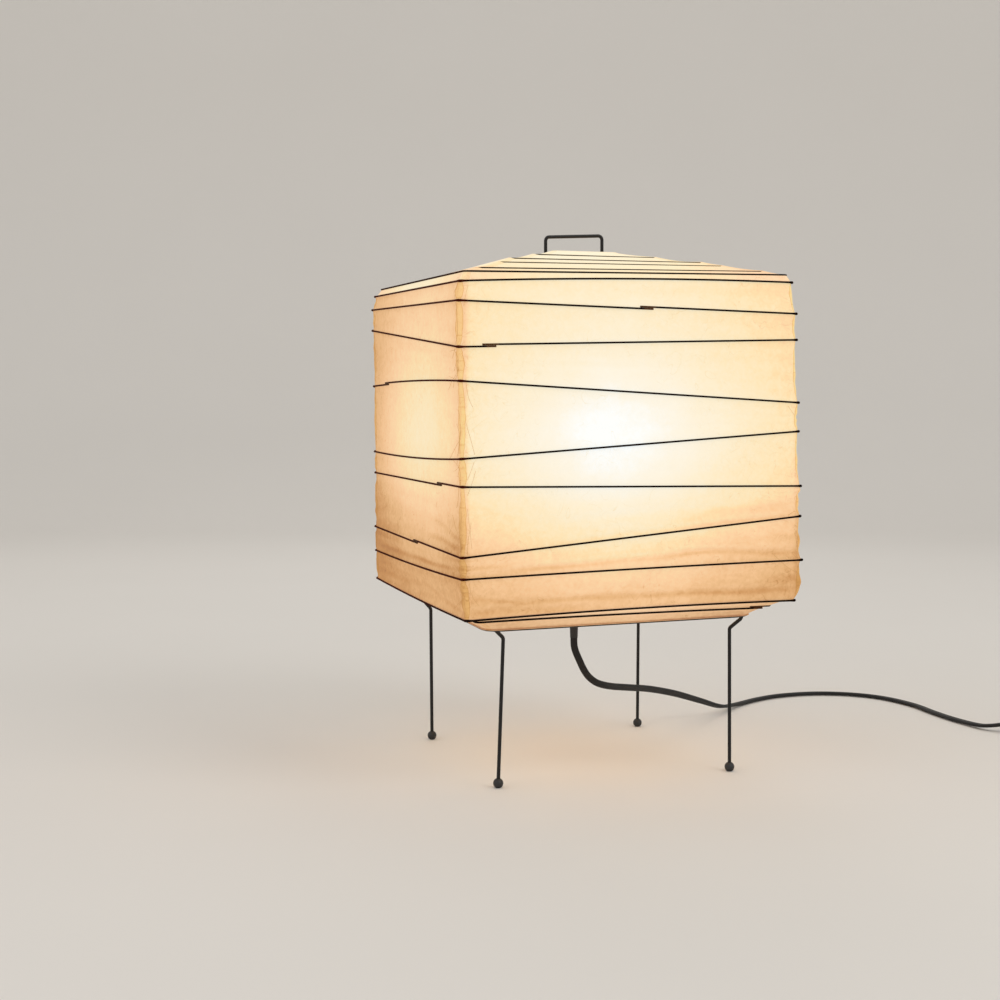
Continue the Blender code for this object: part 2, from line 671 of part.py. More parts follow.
def bulb():
    outside = glass_outline(BULB_RADIUS, BULB_NECK_RADIUS)
    inside = glass_outline(BULB_RADIUS - BULB_WALL, BULB_NECK_RADIUS - BULB_WALL)
    glass_profile = outside + inside[::-1]
    glass = turned("bulb_glass", glass_profile, "opal_glass", (0, 0, GLASS_BASE))
    cap_profile = [(0, CAP_HEIGHT), (CAP_RADIUS - CAP_THREAD_DEPTH, CAP_HEIGHT)]
    pitch = CAP_HEIGHT / (CAP_THREADS + 1)
    for i in range(CAP_THREADS):
        crest = CAP_HEIGHT - pitch * (i + 1)
        cap_profile.append((CAP_RADIUS, crest))
        cap_profile.append((CAP_RADIUS - CAP_THREAD_DEPTH, crest - pitch / 2))
    cap_profile += [(CAP_RADIUS - CAP_THREAD_DEPTH, 0), (0, 0)]
    cap = turned("bulb_cap", cap_profile, "brass", (0, 0, CAP_BASE))
    cone = [(0, CAP_INSULATOR_HEIGHT), (CAP_RADIUS - CAP_THREAD_DEPTH, CAP_INSULATOR_HEIGHT)]
    cone += [(CAP_CONTACT_RADIUS, 0), (0, 0)]
    insulator = turned("bulb_insulator", cone, "black_plastic", (0, 0, CAP_INSULATOR_BASE))
    tip = [(0, CAP_CONTACT_HEIGHT), (CAP_CONTACT_RADIUS, CAP_CONTACT_HEIGHT)]
    tip += [(CAP_CONTACT_RADIUS / 2, 0), (0, 0)]
    contact = turned("bulb_contact", tip, "brass", (0, 0, BULB_BASE))
    carry(holder_empty("bulb_axis", (0, 0, BULB_BASE)), glass, cap, insulator, contact)


def smooth(points, step):
    """A smooth curve through the points, read at even steps between straight end runs."""
    line = np.array([points[0], *points, points[-1]])
    fineness = 20
    shares = np.linspace(0, 1, fineness, endpoint=False)[:, None]
    fine = []
    for a, b, c, d in zip(line, line[1:], line[2:], line[3:]):
        bow = (2 * a - 5 * b + 4 * c - d) * shares**2 + (3 * b - a - 3 * c + d) * shares**3
        fine.append((2 * b + (c - a) * shares + bow) / 2)
    fine = np.vstack([*fine, line[-1:]])
    along = np.append(0, np.cumsum(np.linalg.norm(np.diff(fine, axis=0), axis=1)))
    first, last = along[fineness], along[-1 - fineness]
    even = np.linspace(first, last, round((last - first) / step) + 1)
    at = [0, *even, along[-1]]
    return np.column_stack([np.interp(at, along, fine[:, k]) for k in range(3)])


def cord():
    start = GLAND_TIP - GAP
    end = (SWITCH_START - GAP, SWITCH_Y, SWITCH_SEAM)
    before_end = (SWITCH_START - GAP - LEAD_RUN, SWITCH_Y, SWITCH_SEAM)
    route = [(0, 0, start), *CORD_ROUTE, before_end, end]
    tube("cord_from_lamp", smooth(route, CORD_STEP), CORD_RADIUS, "flex")


def rocker_switch():
    size = (SWITCH_LENGTH, SWITCH_WIDTH)
    hollow = (SWITCH_LENGTH - 2 * SWITCH_WALL, SWITCH_WIDTH - 2 * SWITCH_WALL)
    place = (SWITCH_X, SWITCH_Y)
    base_mesh = mesh_box("switch_base", (*size, SWITCH_BASE_HEIGHT), base_at_zero=True)
    base = rounded(add("switch_base", base_mesh, "black_plastic", (*place, 0)), SWITCH_BEVEL)
    cut_box(base, (*hollow, SWITCH_BASE_HEIGHT), (*place, SWITCH_BASE_HEIGHT / 2 + SWITCH_WALL))
    cover_mesh = mesh_box("switch_cover", (*size, SWITCH_COVER_HEIGHT), base_at_zero=True)
    level = SWITCH_BASE_HEIGHT + GAP
    cover = rounded(add("switch_cover", cover_mesh, "black_plastic", (*place, level)), SWITCH_BEVEL)
    roof = SWITCH_TOP - SWITCH_WALL
    cut_box(cover, (*hollow, SWITCH_COVER_HEIGHT), (*place, roof - SWITCH_COVER_HEIGHT / 2))
    corner = math.hypot(ROCKER_HALF_LENGTH, ROCKER_TOP)
    window = (2 * (corner + RUNNING_GAP), 2 * (ROCKER_HALF_WIDTH + RUNNING_GAP))
    cut_box(cover, (*window, 4 * SWITCH_WALL), (*place, SWITCH_TOP))
    head = [(0, SCREW_HEAD_HEIGHT), (SCREW_HEAD_RADIUS / 2, SCREW_HEAD_HEIGHT)]
    head += [(SCREW_HEAD_RADIUS, 0), (SCREW_RADIUS, 0), (SCREW_RADIUS, -SCREW_LENGTH)]
    head += [(0, -SCREW_LENGTH)]
    for end, side_x in (("lamp", -1), ("plug", 1)):
        x = SWITCH_X + side_x * SCREW_OFFSET
        cut_round(cover, SCREW_RADIUS + GAP, 4 * SWITCH_WALL, (x, SWITCH_Y, SWITCH_TOP))
        turned(f"switch_screw_{end}_side", head, "steel", (x, SWITCH_Y, SWITCH_TOP + GAP))
    side = [
        (-ROCKER_HALF_LENGTH, ROCKER_TOP),
        (-ROCKER_HALF_LENGTH, ROCKER_TOP / 3),
        (-ROCKER_FOOT, -ROCKER_FOOT),
        (ROCKER_FOOT, -ROCKER_FOOT),
        (ROCKER_HALF_LENGTH, ROCKER_TOP / 3),
        (ROCKER_HALF_LENGTH, ROCKER_TOP),
        (0, ROCKER_TOP - ROCKER_DIP),
    ]
    loops = (side, circle(ROCKER_PIN_RADIUS + RUNNING_GAP, 16))
    pivot = (*place, PIN_HEIGHT)
    rocker = outline("switch_rocker", loops, ROCKER_HALF_WIDTH, "black_plastic", pivot)
    rocker.rotation_euler = (math.pi / 2, -ROCKER_TILT, 0)
    half = SWITCH_WIDTH / 2 - SWITCH_WALL - GAP
    ends = [(SWITCH_X, SWITCH_Y + side_y * half, PIN_HEIGHT) for side_y in (-1, 1)]
    tube("rocker_pin", ends, ROCKER_PIN_RADIUS, "steel")


def coil_points():
    """Loops that spiral in on the lower layer, climb, and spiral out on the upper one."""
    points = []
    count = round(COIL_TURNS * LOOP_POINTS)
    for i in range(count + 1):
        turn = COIL_TURNS * i / count
        radius = COIL_INNER + COIL_PITCH * abs(turn - COIL_TURNS / 2)
        angle = 2 * math.pi * turn - math.pi / 2
        climb = (turn - COIL_TURNS / 2) / COIL_CLIMB + 0.5
        climb = min(max(climb, 0), 1)
        height = COIL_LOW + COIL_LAYER * climb * climb * (3 - 2 * climb)
        points.append((COIL_X + radius * math.cos(angle), COIL_Y + radius * math.sin(angle), height))
    return points


def least_gap(points, radius):
    """Least gap of a tube to itself, between places more than six radii apart along it."""
    line = np.array(points)
    shares = np.linspace(0, 1, 8, endpoint=False)[:, None]
    fine = np.vstack([a + (b - a) * shares for a, b in zip(line, line[1:])])
    along = np.append(0, np.cumsum(np.linalg.norm(np.diff(fine, axis=0), axis=1)))
    apart = np.linalg.norm(fine[:, None] - fine[None], axis=2)
    apart[np.abs(along[:, None] - along[None]) < 6 * radius] = np.inf
    return apart.min() - 2 * radius


def coil_and_tie():
    start = SWITCH_START + SWITCH_LENGTH + GAP
    lead = [(start, SWITCH_Y, SWITCH_SEAM), (start + LEAD_RUN, SWITCH_Y, SWITCH_SEAM)]
    loops = coil_points()
    end = (loops[-1][0], loops[-1][1] + PLUG_RUN, COIL_HIGH)
    middle = (lead[1][0] + COIL_X) / 2
    ease = [(middle, SWITCH_Y, (SWITCH_SEAM + COIL_LOW) / 2)]
    points = [*lead, *ease, *loops, end]
    tube("cord_coil", points, CORD_RADIUS, "flex", bevel_resolution=1)
    print(f"least gap of the coil to itself: {1000 * least_gap(points, CORD_RADIUS):.2f} mm")
    near = COIL_INNER - CORD_RADIUS - GAP - TIE_RADIUS
    far = COIL_RADIUS + CORD_RADIUS + GAP + TIE_RADIUS
    low = COIL_LOW - CORD_RADIUS - GAP - TIE_RADIUS
    high = COIL_HIGH + CORD_RADIUS + GAP + TIE_RADIUS
    corner = 2 * TIE_RADIUS
    across = [(near, low + corner), (near + corner, low), (far - corner, low), (far, low + corner)]
    across += [(far, high - corner), (far - corner, high), (near + corner, high), (near, high - corner)]
    x, y = math.cos(TIE_ANGLE), math.sin(TIE_ANGLE)
    band = [(COIL_X + r * x, COIL_Y + r * y, z) for r, z in across]
    tube("coil_tie", band, TIE_RADIUS, "black_plastic", cyclic=True, bevel_resolution=1)
    return end


def plug(cord_end):
    x, y, z = cord_end
    rear = y + GAP
    size = (2 * PLUG_HALF_WIDTH, PLUG_LENGTH, 2 * PLUG_HALF_HEIGHT)
    mesh = mesh_box("plug_body", size)
    for vertex in mesh.vertices:
        if vertex.co.y < 0:
            vertex.co.x *= PLUG_TAIL_SCALE
            vertex.co.z *= PLUG_TAIL_SCALE
    body = add("plug_body", mesh, "black_plastic", (x, rear + PLUG_LENGTH / 2, z))
    rounded(body, PLUG_BEVEL)
    front = rear + PLUG_LENGTH + GAP
    for side, side_x in (("left", -1), ("right", 1)):
        blade = mesh_box(f"plug_blade_{side}", (BLADE_THICKNESS, BLADE_LENGTH, BLADE_WIDTH))
        place = (x + side_x * BLADE_OFFSET, front + BLADE_LENGTH / 2, z)
        rounded(add(f"plug_blade_{side}", blade, "brass", place), BLADE_THICKNESS / 4, 1)


clear_scene()
PARTS = new_collection("paper_lantern_table_lamp")
CUTTERS = new_collection("cutters")
shade()
legs()
hub_and_stretcher()
lampholder()
bulb()
cord()
rocker_switch()
plug(coil_and_tie())
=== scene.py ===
"""Looks of the lit paper lantern table lamp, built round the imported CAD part."""

import json
import math
import random

import bpy
import numpy as np
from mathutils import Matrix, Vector, noise


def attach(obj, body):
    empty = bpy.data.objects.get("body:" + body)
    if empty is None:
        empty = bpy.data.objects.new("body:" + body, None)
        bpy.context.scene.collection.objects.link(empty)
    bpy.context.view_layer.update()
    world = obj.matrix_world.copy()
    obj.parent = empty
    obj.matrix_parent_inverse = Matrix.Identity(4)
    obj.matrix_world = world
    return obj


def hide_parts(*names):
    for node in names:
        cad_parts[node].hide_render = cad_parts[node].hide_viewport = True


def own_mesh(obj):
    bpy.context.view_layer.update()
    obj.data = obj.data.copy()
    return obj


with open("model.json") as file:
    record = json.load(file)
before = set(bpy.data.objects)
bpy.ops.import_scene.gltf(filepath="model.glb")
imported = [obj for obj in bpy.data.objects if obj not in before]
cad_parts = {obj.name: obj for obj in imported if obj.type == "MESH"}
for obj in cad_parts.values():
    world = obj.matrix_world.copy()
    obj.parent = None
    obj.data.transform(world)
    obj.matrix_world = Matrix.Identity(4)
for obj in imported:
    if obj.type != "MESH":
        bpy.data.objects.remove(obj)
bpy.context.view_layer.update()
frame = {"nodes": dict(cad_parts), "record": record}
NODES = frame["nodes"]

# Shade, as in the CAD source. A hoop is its inset from the side, and then its heights above the
# shade's base at the front left, front right, back right and back left corners
SHADE_HALF = 0.1315
SHADE_BASE = 0.1155
SIDE_HOOPS = (
    (0.0025, 0.2455, 0.2505, 0.2515, 0.2505),
    (0.0000, 0.2325, 0.2265, 0.2355, 0.2400),
    (0.0000, 0.2005, 0.2075, 0.2145, 0.2230),
    (0.0000, 0.1760, 0.1615, 0.1675, 0.1765),
    (0.0000, 0.1225, 0.1410, 0.1345, 0.1210),
    (0.0000, 0.1025, 0.1000, 0.1005, 0.1040),
    (0.0000, 0.0535, 0.0780, 0.0725, 0.0590),
    (0.0000, 0.0390, 0.0460, 0.0425, 0.0380),
    (0.0045, 0.0100, 0.0160, 0.0172, 0.0153),
)
ROOF_HOOPS = (
    (0.0068, 0.2530, 0.2565, 0.2575, 0.2565),
    (0.0200, 0.2565, 0.2595, 0.2605, 0.2595),
    (0.0425, 0.2630, 0.2647, 0.2655, 0.2645),
    (0.0545, 0.2671, 0.2680, 0.2685, 0.2680),
    (0.0815, 0.2730, 0.2733, 0.2735, 0.2733),
)
UNDER_HOOP = (0.0170, 0.0073, 0.0101, 0.0105, 0.0095)
TOP_RIM_HALF = 0.0263
TOP_RIM_HEIGHT = 0.2775
TOP_RIM = (SHADE_HALF - TOP_RIM_HALF, *[TOP_RIM_HEIGHT] * 4)
BOTTOM_RIM = (0.0280, -0.0006, 0.0028, 0.0030, 0.0030)
# How far each hoop of this handmade shade has slipped in X: its right side, and the front and
# back ends of its left side
SIDE_SLIPS = (
    (-0.0035, -0.0024, -0.0024),
    (-0.0037, -0.0017, -0.0017),
    (-0.0035, -0.0015, -0.0015),
    (-0.0019, -0.0003, -0.0003),
    (-0.0020, 0.0005, 0.0005),
    (-0.0002, 0.0010, 0.0010),
    (-0.0006, 0.0010, 0.0010),
    (0.0007, 0.0016, 0.0016),
    (0.0016, 0.0012, -0.0032),
)
ROOF_SLIPS = [(slip, slip, slip) for slip in (-0.0020, -0.0015, -0.0010, -0.0005, 0)]
NO_SLIP = (0, 0, 0)
HOOP_CORNER = 0.004
BOTTOM_RIM_CORNER = 0.012
HOOP_RADIUS = 0.0007
ROOF_HOOP_RADIUS = 0.0005
KNOT_SCALE = 1.7  # of a side hoop where it turns a corner
KNOT_REACH = 1.2 * HOOP_CORNER
NO_KNOT = 1
HOOP_REACH = 0.0006  # from a hoop's middle to the paper that it is glued to
ROOF_REACH = 0.0002
ROOF_COVER = 0.0010  # of the paper over the roof's hoops, on the left and right
LINE_HALF = 0.0008  # half width of the line that a covered hoop makes in the lit paper
TOP_WRAP = 0.0014  # from a rim's middle to the outside of the paper round it
BOTTOM_WRAP = 0.0016
PAPER = 0.00035  # thickness


# Shader graphs


def feed(tree, socket, value):
    if isinstance(value, bpy.types.NodeSocket):
        tree.links.new(value, socket)
    else:
        socket.default_value = value


def node(tree, kind, inputs=None, **settings):
    made = tree.nodes.new(kind)
    for key, value in settings.items():
        setattr(made, key, value)
    for key, value in (inputs or {}).items():
        feed(tree, made.inputs[key], value)
    return made


def calc(tree, operation, *values):
    made = tree.nodes.new("ShaderNodeMath")
    made.operation = operation
    for socket, value in zip(made.inputs, values):
        feed(tree, socket, value)
    return made.outputs[0]


def less(tree, value, loss):
    """The value without this share of it."""
    return calc(tree, "MULTIPLY", value, calc(tree, "SUBTRACT", 1.0, loss))


def vector(tree, operation, *values):
    made = tree.nodes.new("ShaderNodeVectorMath")
    made.operation = operation
    for socket, value in zip(made.inputs, values):
        feed(tree, socket, value)
    return made.outputs["Value" if operation in ("LENGTH", "DOT_PRODUCT") else "Vector"]


def remap(tree, value, low, high, to_low=0.0, to_high=1.0):
    made = node(tree, "ShaderNodeMapRange", {"Value": value}, interpolation_type="SMOOTHSTEP")
    for key, number in (("From Min", low), ("From Max", high), ("To Min", to_low), ("To Max", to_high)):
        made.inputs[key].default_value = number
    return made.outputs["Result"]


def noise_value(tree, place, scale, detail=2.0, distortion=0.0):
    inputs = {"Vector": place, "Scale": scale, "Detail": detail, "Distortion": distortion}
    return node(tree, "ShaderNodeTexNoise", inputs).outputs["Fac"]


def attribute(tree, name):
    return node(tree, "ShaderNodeAttribute", attribute_name=name).outputs["Fac"]


def mix_colour(tree, share, first, second, blend="MIX"):
    made = node(tree, "ShaderNodeMix", data_type="RGBA", blend_type=blend)
    feed(tree, made.inputs[0], share)
    feed(tree, made.inputs[6], first)
    feed(tree, made.inputs[7], second)
    return made.outputs[2]


def ramp(tree, value, stops):
    made = node(tree, "ShaderNodeValToRGB", {"Fac": value})
    elements = made.color_ramp.elements
    while len(elements) < len(stops):
        elements.new(0.5)
    for element, (position, colour) in zip(elements, stops):
        element.position = position
        element.color = (*colour, 1)
    return made.outputs["Color"]


def new_material(name, roughness=0.5, metallic=0.0):
    material = bpy.data.materials.new(name)
    material.use_nodes = True
    tree = material.node_tree
    shader = tree.nodes["Principled BSDF"]
    shader.inputs["Roughness"].default_value = roughness
    shader.inputs["Metallic"].default_value = metallic
    place = node(tree, "ShaderNodeTexCoord").outputs["Object"]
    return material, tree, shader, place


def bump(tree, shader, height, distance, strength):
    made = node(tree, "ShaderNodeBump", {"Height": height, "Distance": distance, "Strength": strength})
    tree.links.new(made.outputs["Normal"], shader.inputs["Normal"])


LIGHT_PLACE = (-0.015, 0.0, 0.252)  # of the bulb's light inside the shade
# Colours of the lit paper, from its dimmest to the hot spot in front of the bulb
GLOW_STOPS = (
    (0.00, (0.050, 0.000, 0.000)),
    (0.03, (0.120, 0.010, 0.000)),
    (0.06, (0.280, 0.110, 0.030)),
    (0.10, (0.470, 0.272, 0.132)),
    (0.15, (0.600, 0.378, 0.215)),
    (0.20, (0.655, 0.452, 0.280)),
    (0.27, (0.664, 0.538, 0.325)),
    (0.34, (0.664, 0.595, 0.400)),
    (0.56, (0.664, 0.660, 0.530)),
    (0.84, (0.664, 0.725, 0.690)),
    (1.00, (0.664, 0.800, 0.880)),
)
HEIGHT_SPAN = 0.4
# Share of the light that leaves the paper at each height, in shares of that span
HEIGHT_STOPS = (
    (0.280, 0.18),
    (0.346, 0.235),
    (0.400, 0.37),
    (0.470, 0.64),
    (0.540, 0.92),
    (0.630, 1.00),
    (0.795, 0.84),
    (0.880, 0.92),
)
# Places are pairs along X, Y or Z, from which to which the light changes
TURN = (0.1225, 0.1285)  # from one side of the shade to the next
# Shares of the front's light that the other sides have
LEFT_SHARES = (0.51, 0.295)  # at its front end and further back
LEFT_FADE = (-0.13, 0.02)
BACK_SHARE = 0.80
RIGHT_SHARE = 0.60
# A dimmer band across the left side, and a brighter patch at its back end
BAND_BOTTOM = (0.16, 0.21)
BAND_TOP = (0.24, 0.33)
BAND_LOSS = 0.09
PATCH_HEIGHT = 0.195
PATCH_REACH = 0.04
PATCH_FADE = (0.04, 0.11)
PATCH_GAIN = 0.20
# The lower part of the front is dimmer towards its ends
LOW_RIGHT_FADE = (-0.03, 0.09)
LOW_RIGHT_TOP = (0.19, 0.28)
LOW_RIGHT_LOSS = 0.14
LOW_LEFT_FADE = (-0.10, -0.03)
LOW_LEFT_TOP = (0.19, 0.26)
LOW_LEFT_LOSS = 0.11
# Light that the slopes throw back to the foot and the head of the sides
FOOT_FADE = (0.12, 0.20)
FOOT_GAIN = 0.052
HEAD_FADE = (0.28, 0.37)
HEAD_GAIN = 0.03
# Shares of the light on the slopes: at the bottom rim, and from the bottom to the roof
RIM_FADE = (0.1215, 0.1255)
RIM_SHARE = 0.70
SLOPE_FADE = (0.13, 0.35)
SLOPE_SHARES = (1.55, 0.66)


def bulb_light(tree, place, z):
    """Light of the bulb on the paper, by the paper's distance, slant and height."""
    ray = vector(tree, "SUBTRACT", place, LIGHT_PLACE)
    distance = vector(tree, "LENGTH", ray)
    normal = node(tree, "ShaderNodeNewGeometry").outputs["Normal"]
    facing = calc(tree, "ABSOLUTE", vector(tree, "DOT_PRODUCT", ray, normal))
    facing = calc(tree, "DIVIDE", facing, distance)
    near = calc(tree, "DIVIDE", SHADE_HALF, distance)
    light = calc(tree, "MULTIPLY", facing, calc(tree, "MULTIPLY", near, near))
    height = calc(tree, "DIVIDE", z, HEIGHT_SPAN)
    return calc(tree, "MULTIPLY", light, ramp(tree, height, [(at, (v, v, v)) for at, v in HEIGHT_STOPS]))


def left_share(tree, y, z):
    """Share of the front's light that the left side has."""
    share = remap(tree, y, *LEFT_FADE, *LEFT_SHARES)
    band = calc(tree, "MULTIPLY", remap(tree, z, *BAND_BOTTOM), remap(tree, z, *BAND_TOP, BAND_LOSS, 0))
    share = less(tree, share, band)
    from_patch = calc(tree, "ABSOLUTE", calc(tree, "SUBTRACT", z, PATCH_HEIGHT))
    patch = remap(tree, from_patch, 0, PATCH_REACH, PATCH_GAIN, 0)
    patch = calc(tree, "MULTIPLY", patch, remap(tree, y, *PATCH_FADE))
    return calc(tree, "MULTIPLY_ADD", share, patch, share)


def wall_light(tree, place, x, y, z):
    """Light on the shade's four sides."""
    light = bulb_light(tree, place, z)
    on_left = remap(tree, x, -TURN[1], -TURN[0], 1, 0)
    on_left = calc(tree, "MULTIPLY", on_left, calc(tree, "SUBTRACT", 1.0, left_share(tree, y, z)))
    light = less(tree, light, on_left)
    light = calc(tree, "MULTIPLY", light, remap(tree, y, *TURN, 1.0, BACK_SHARE))
    light = calc(tree, "MULTIPLY", light, remap(tree, x, *TURN, 1.0, RIGHT_SHARE))
    low_right = remap(tree, z, *LOW_RIGHT_TOP, LOW_RIGHT_LOSS, 0)
    light = less(tree, light, calc(tree, "MULTIPLY", low_right, remap(tree, x, *LOW_RIGHT_FADE)))
    low_left = remap(tree, z, *LOW_LEFT_TOP, LOW_LEFT_LOSS, 0)
    light = less(tree, light, calc(tree, "MULTIPLY", low_left, remap(tree, x, *LOW_LEFT_FADE, 1, 0)))
    light = calc(tree, "ADD", light, remap(tree, z, *FOOT_FADE, FOOT_GAIN, 0))
    return calc(tree, "ADD", light, remap(tree, z, *HEAD_FADE, 0, HEAD_GAIN))


def slope_light(tree, place, z):
    """Light on the roof and the bottom sheet."""
    light = bulb_light(tree, place, z)
    light = calc(tree, "MULTIPLY", light, remap(tree, z, *RIM_FADE, RIM_SHARE, 1.0))
    return calc(tree, "MULTIPLY", light, remap(tree, z, *SLOPE_FADE, *SLOPE_SHARES))


WALL_COLOUR = (0.40, 0.24, 0.10, 1)
SLOPE_COLOUR = (0.42, 0.30, 0.19, 1)
FIBRE_COLOUR = (0.30, 0.17, 0.06, 1)
SEAM_COLOUR = (0.36, 0.22, 0.07, 1)
SEAM_TINT = (0.98, 0.90, 0.68, 1)
SEAM_EDGE_TINT = (0.70, 0.47, 0.22, 1)
# Noise in the paper: how fine, how detailed and how distorted it is, and how much it changes the light
CLOUD = (24, 4, 0.6)
CLOUD_DEPTH = 0.34
MOTTLE = (170, 3, 0.6)
MOTTLE_DEPTH = 0.46
GRAIN = (420, 3, 0.4)
GRAIN_DEPTH = 0.48
BRIGHT = (0.35, 0.75)  # light in which the mottle and grain fade
BRIGHT_SHARE = 0.2  # of them that stays there
# Fibres: how fine their noise is, how wide they are in it, and how far they reach from a corner,
# with 0 for those that lie in patches everywhere
FIBRES = ((34, 0.005, 0), (57, 0.007, 0), (80, 0.012, 0.022))
FIBRE_SHADE = 0.30
CREASE_SHADE = 0.28
COVERED_SHADE = 0.80
# Half width of a wall's seam, as a share of the strip: at a hoop, and how much more between hoops
SEAM_AT_HOOP = 0.42
SEAM_BETWEEN = 0.60
SLOPE_SEAM_HALF = 0.0035
SLOPE_SEAM_SHARE = 0.35
SEAM_WOBBLE = 0.9
SEAM_WOBBLE_SCALE = 90
# Where the wrinkles' noise is read: away from the planes of its lattice, on which it is often flat
WRINKLE_X = 0.0077
WRINKLE_Y = 0.0127
WRINKLE_SCALE = 48


def paper_fibres(tree, place, corner):
    """Lines where fibres lie in the paper. Corner is the distance from the nearest corner."""
    fibre = 0
    for scale, width, reach in FIBRES:
        line = calc(tree, "ABSOLUTE", calc(tree, "SUBTRACT", noise_value(tree, place, scale, 2, 1.4), 0.5))
        line = remap(tree, line, 0, width, 1, 0)
        if reach:
            patch = remap(tree, corner, HOOP_CORNER, reach, 0.9, 0)
        else:
            patch = remap(tree, noise_value(tree, place, scale * 0.6, 1), 0.50, 0.60)
        fibre = calc(tree, "MAXIMUM", fibre, calc(tree, "MULTIPLY", line, patch))
    return fibre


def seam_marks(tree, place, z, edge, share):
    """The strip over a corner seam, and its brown edges and wrinkles.

    Edge is the distance from the middle of the seam, in half widths of the strip.
    """
    wobble = noise_value(tree, place, SEAM_WOBBLE_SCALE, 4)
    wobble = calc(tree, "MULTIPLY_ADD", wobble, SEAM_WOBBLE, -SEAM_WOBBLE / 2)
    edge = calc(tree, "ADD", edge, wobble)
    seam = remap(tree, edge, 0.88, 1.0, share, 0)
    border = calc(tree, "ABSOLUTE", calc(tree, "SUBTRACT", edge, 0.92))
    border = remap(tree, border, 0.02, 0.14, 1, 0)
    # Short wrinkles lie across the strip
    upright = node(tree, "ShaderNodeCombineXYZ", {"X": WRINKLE_X, "Y": WRINKLE_Y, "Z": z}).outputs[0]
    wrinkle = noise_value(tree, upright, WRINKLE_SCALE, 1)
    wrinkle = calc(tree, "ABSOLUTE", calc(tree, "SUBTRACT", wrinkle, 0.5))
    return seam, calc(tree, "MAXIMUM", border, remap(tree, wrinkle, 0.003, 0.010, 0.5, 0))


def paper_material(name, on_wall):
    """Paper lit from inside, on the shade's sides or on its slopes."""
    material, tree, shader, place = new_material(name, 0.85)
    axes = node(tree, "ShaderNodeSeparateXYZ", {0: place})
    x, y, z = (axes.outputs[k] for k in "XYZ")
    light = wall_light(tree, place, x, y, z) if on_wall else slope_light(tree, place, z)
    cloud = noise_value(tree, place, *CLOUD)
    cloud = calc(tree, "MULTIPLY_ADD", cloud, CLOUD_DEPTH, 1 - CLOUD_DEPTH / 2)
    light = calc(tree, "MULTIPLY", light, cloud)
    # The grain shows less where the paper is brightest
    mottle = noise_value(tree, place, *MOTTLE)
    grain = noise_value(tree, place, *GRAIN)
    texture = calc(tree, "MULTIPLY_ADD", grain, GRAIN_DEPTH, -(MOTTLE_DEPTH + GRAIN_DEPTH) / 2)
    texture = calc(tree, "MULTIPLY_ADD", mottle, MOTTLE_DEPTH, texture)
    texture = calc(tree, "MULTIPLY", texture, remap(tree, light, *BRIGHT, 1.0, BRIGHT_SHARE))
    light = calc(tree, "MULTIPLY_ADD", light, texture, light)
    from_x = calc(tree, "SUBTRACT", SHADE_HALF, calc(tree, "ABSOLUTE", x))
    from_y = calc(tree, "SUBTRACT", SHADE_HALF, calc(tree, "ABSOLUTE", y))
    fibre = paper_fibres(tree, place, calc(tree, "MAXIMUM", from_x, from_y))
    light = less(tree, light, calc(tree, "MULTIPLY", fibre, FIBRE_SHADE))
    light = less(tree, light, calc(tree, "MULTIPLY", attribute(tree, "crease"), CREASE_SHADE))
    light = less(tree, light, calc(tree, "MULTIPLY", attribute(tree, "covered_hoop"), COVERED_SHADE))
    glow = ramp(tree, light, GLOW_STOPS)
    if on_wall:
        width = calc(tree, "MULTIPLY_ADD", attribute(tree, "slack"), SEAM_BETWEEN, SEAM_AT_HOOP)
        edge = calc(tree, "DIVIDE", attribute(tree, "from_seam"), width)
    else:
        edge = calc(tree, "ABSOLUTE", calc(tree, "SUBTRACT", from_x, from_y))
        edge = calc(tree, "DIVIDE", edge, SLOPE_SEAM_HALF)
    seam, border = seam_marks(tree, place, z, edge, 1.0 if on_wall else SLOPE_SEAM_SHARE)
    tint = mix_colour(tree, border, SEAM_TINT, SEAM_EDGE_TINT)
    glow = mix_colour(tree, seam, glow, mix_colour(tree, 1.0, glow, tint, "MULTIPLY"))
    tree.links.new(glow, shader.inputs["Emission Color"])
    shader.inputs["Emission Strength"].default_value = 1.0
    plain = WALL_COLOUR if on_wall else SLOPE_COLOUR
    body = mix_colour(tree, calc(tree, "MULTIPLY", fibre, 0.6), plain, FIBRE_COLOUR)
    tree.links.new(mix_colour(tree, seam, body, SEAM_COLOUR), shader.inputs["Base Color"])
    bump(tree, shader, calc(tree, "ADD", grain, fibre), 0.0004, 0.35)
    return material


def speckled(name, colour, other, scale, roughness, metallic=0.0, gloss=0.5, glow=0):
    """A finish with a mottled colour and roughness, and a fine relief. With glow, its colour also glows as
    painted light.
    """
    material, tree, shader, place = new_material(name, roughness, metallic)
    shader.inputs["Specular IOR Level"].default_value = gloss
    fine = noise_value(tree, place, scale, 4)
    broad = noise_value(tree, place, scale / 9, 2)
    paint = mix_colour(tree, broad, (*colour, 1), (*other, 1))
    tree.links.new(paint, shader.inputs["Base Color"])
    if glow:
        tree.links.new(paint, shader.inputs["Emission Color"])
        shader.inputs["Emission Strength"].default_value = glow
    tree.links.new(calc(tree, "MULTIPLY_ADD", fine, 0.25, roughness - 0.12), shader.inputs["Roughness"])
    bump(tree, shader, fine, 0.0001, 0.4)
    return material


def bulb_material():
    material, tree, shader, place = new_material("opal_glass_lit", 0.25)
    shader.inputs["Base Color"].default_value = (0.93, 0.91, 0.86, 1)
    height = node(tree, "ShaderNodeSeparateXYZ", {0: place}).outputs["Z"]
    share = remap(tree, height, 0.187, 0.225)
    glow = mix_colour(tree, share, (0.95, 0.62, 0.30, 1), (1.0, 0.90, 0.72, 1))
    tree.links.new(glow, shader.inputs["Emission Color"])
    shader.inputs["Emission Strength"].default_value = 4.0
    shader.inputs["Coat Weight"].default_value = 0.3
    return material


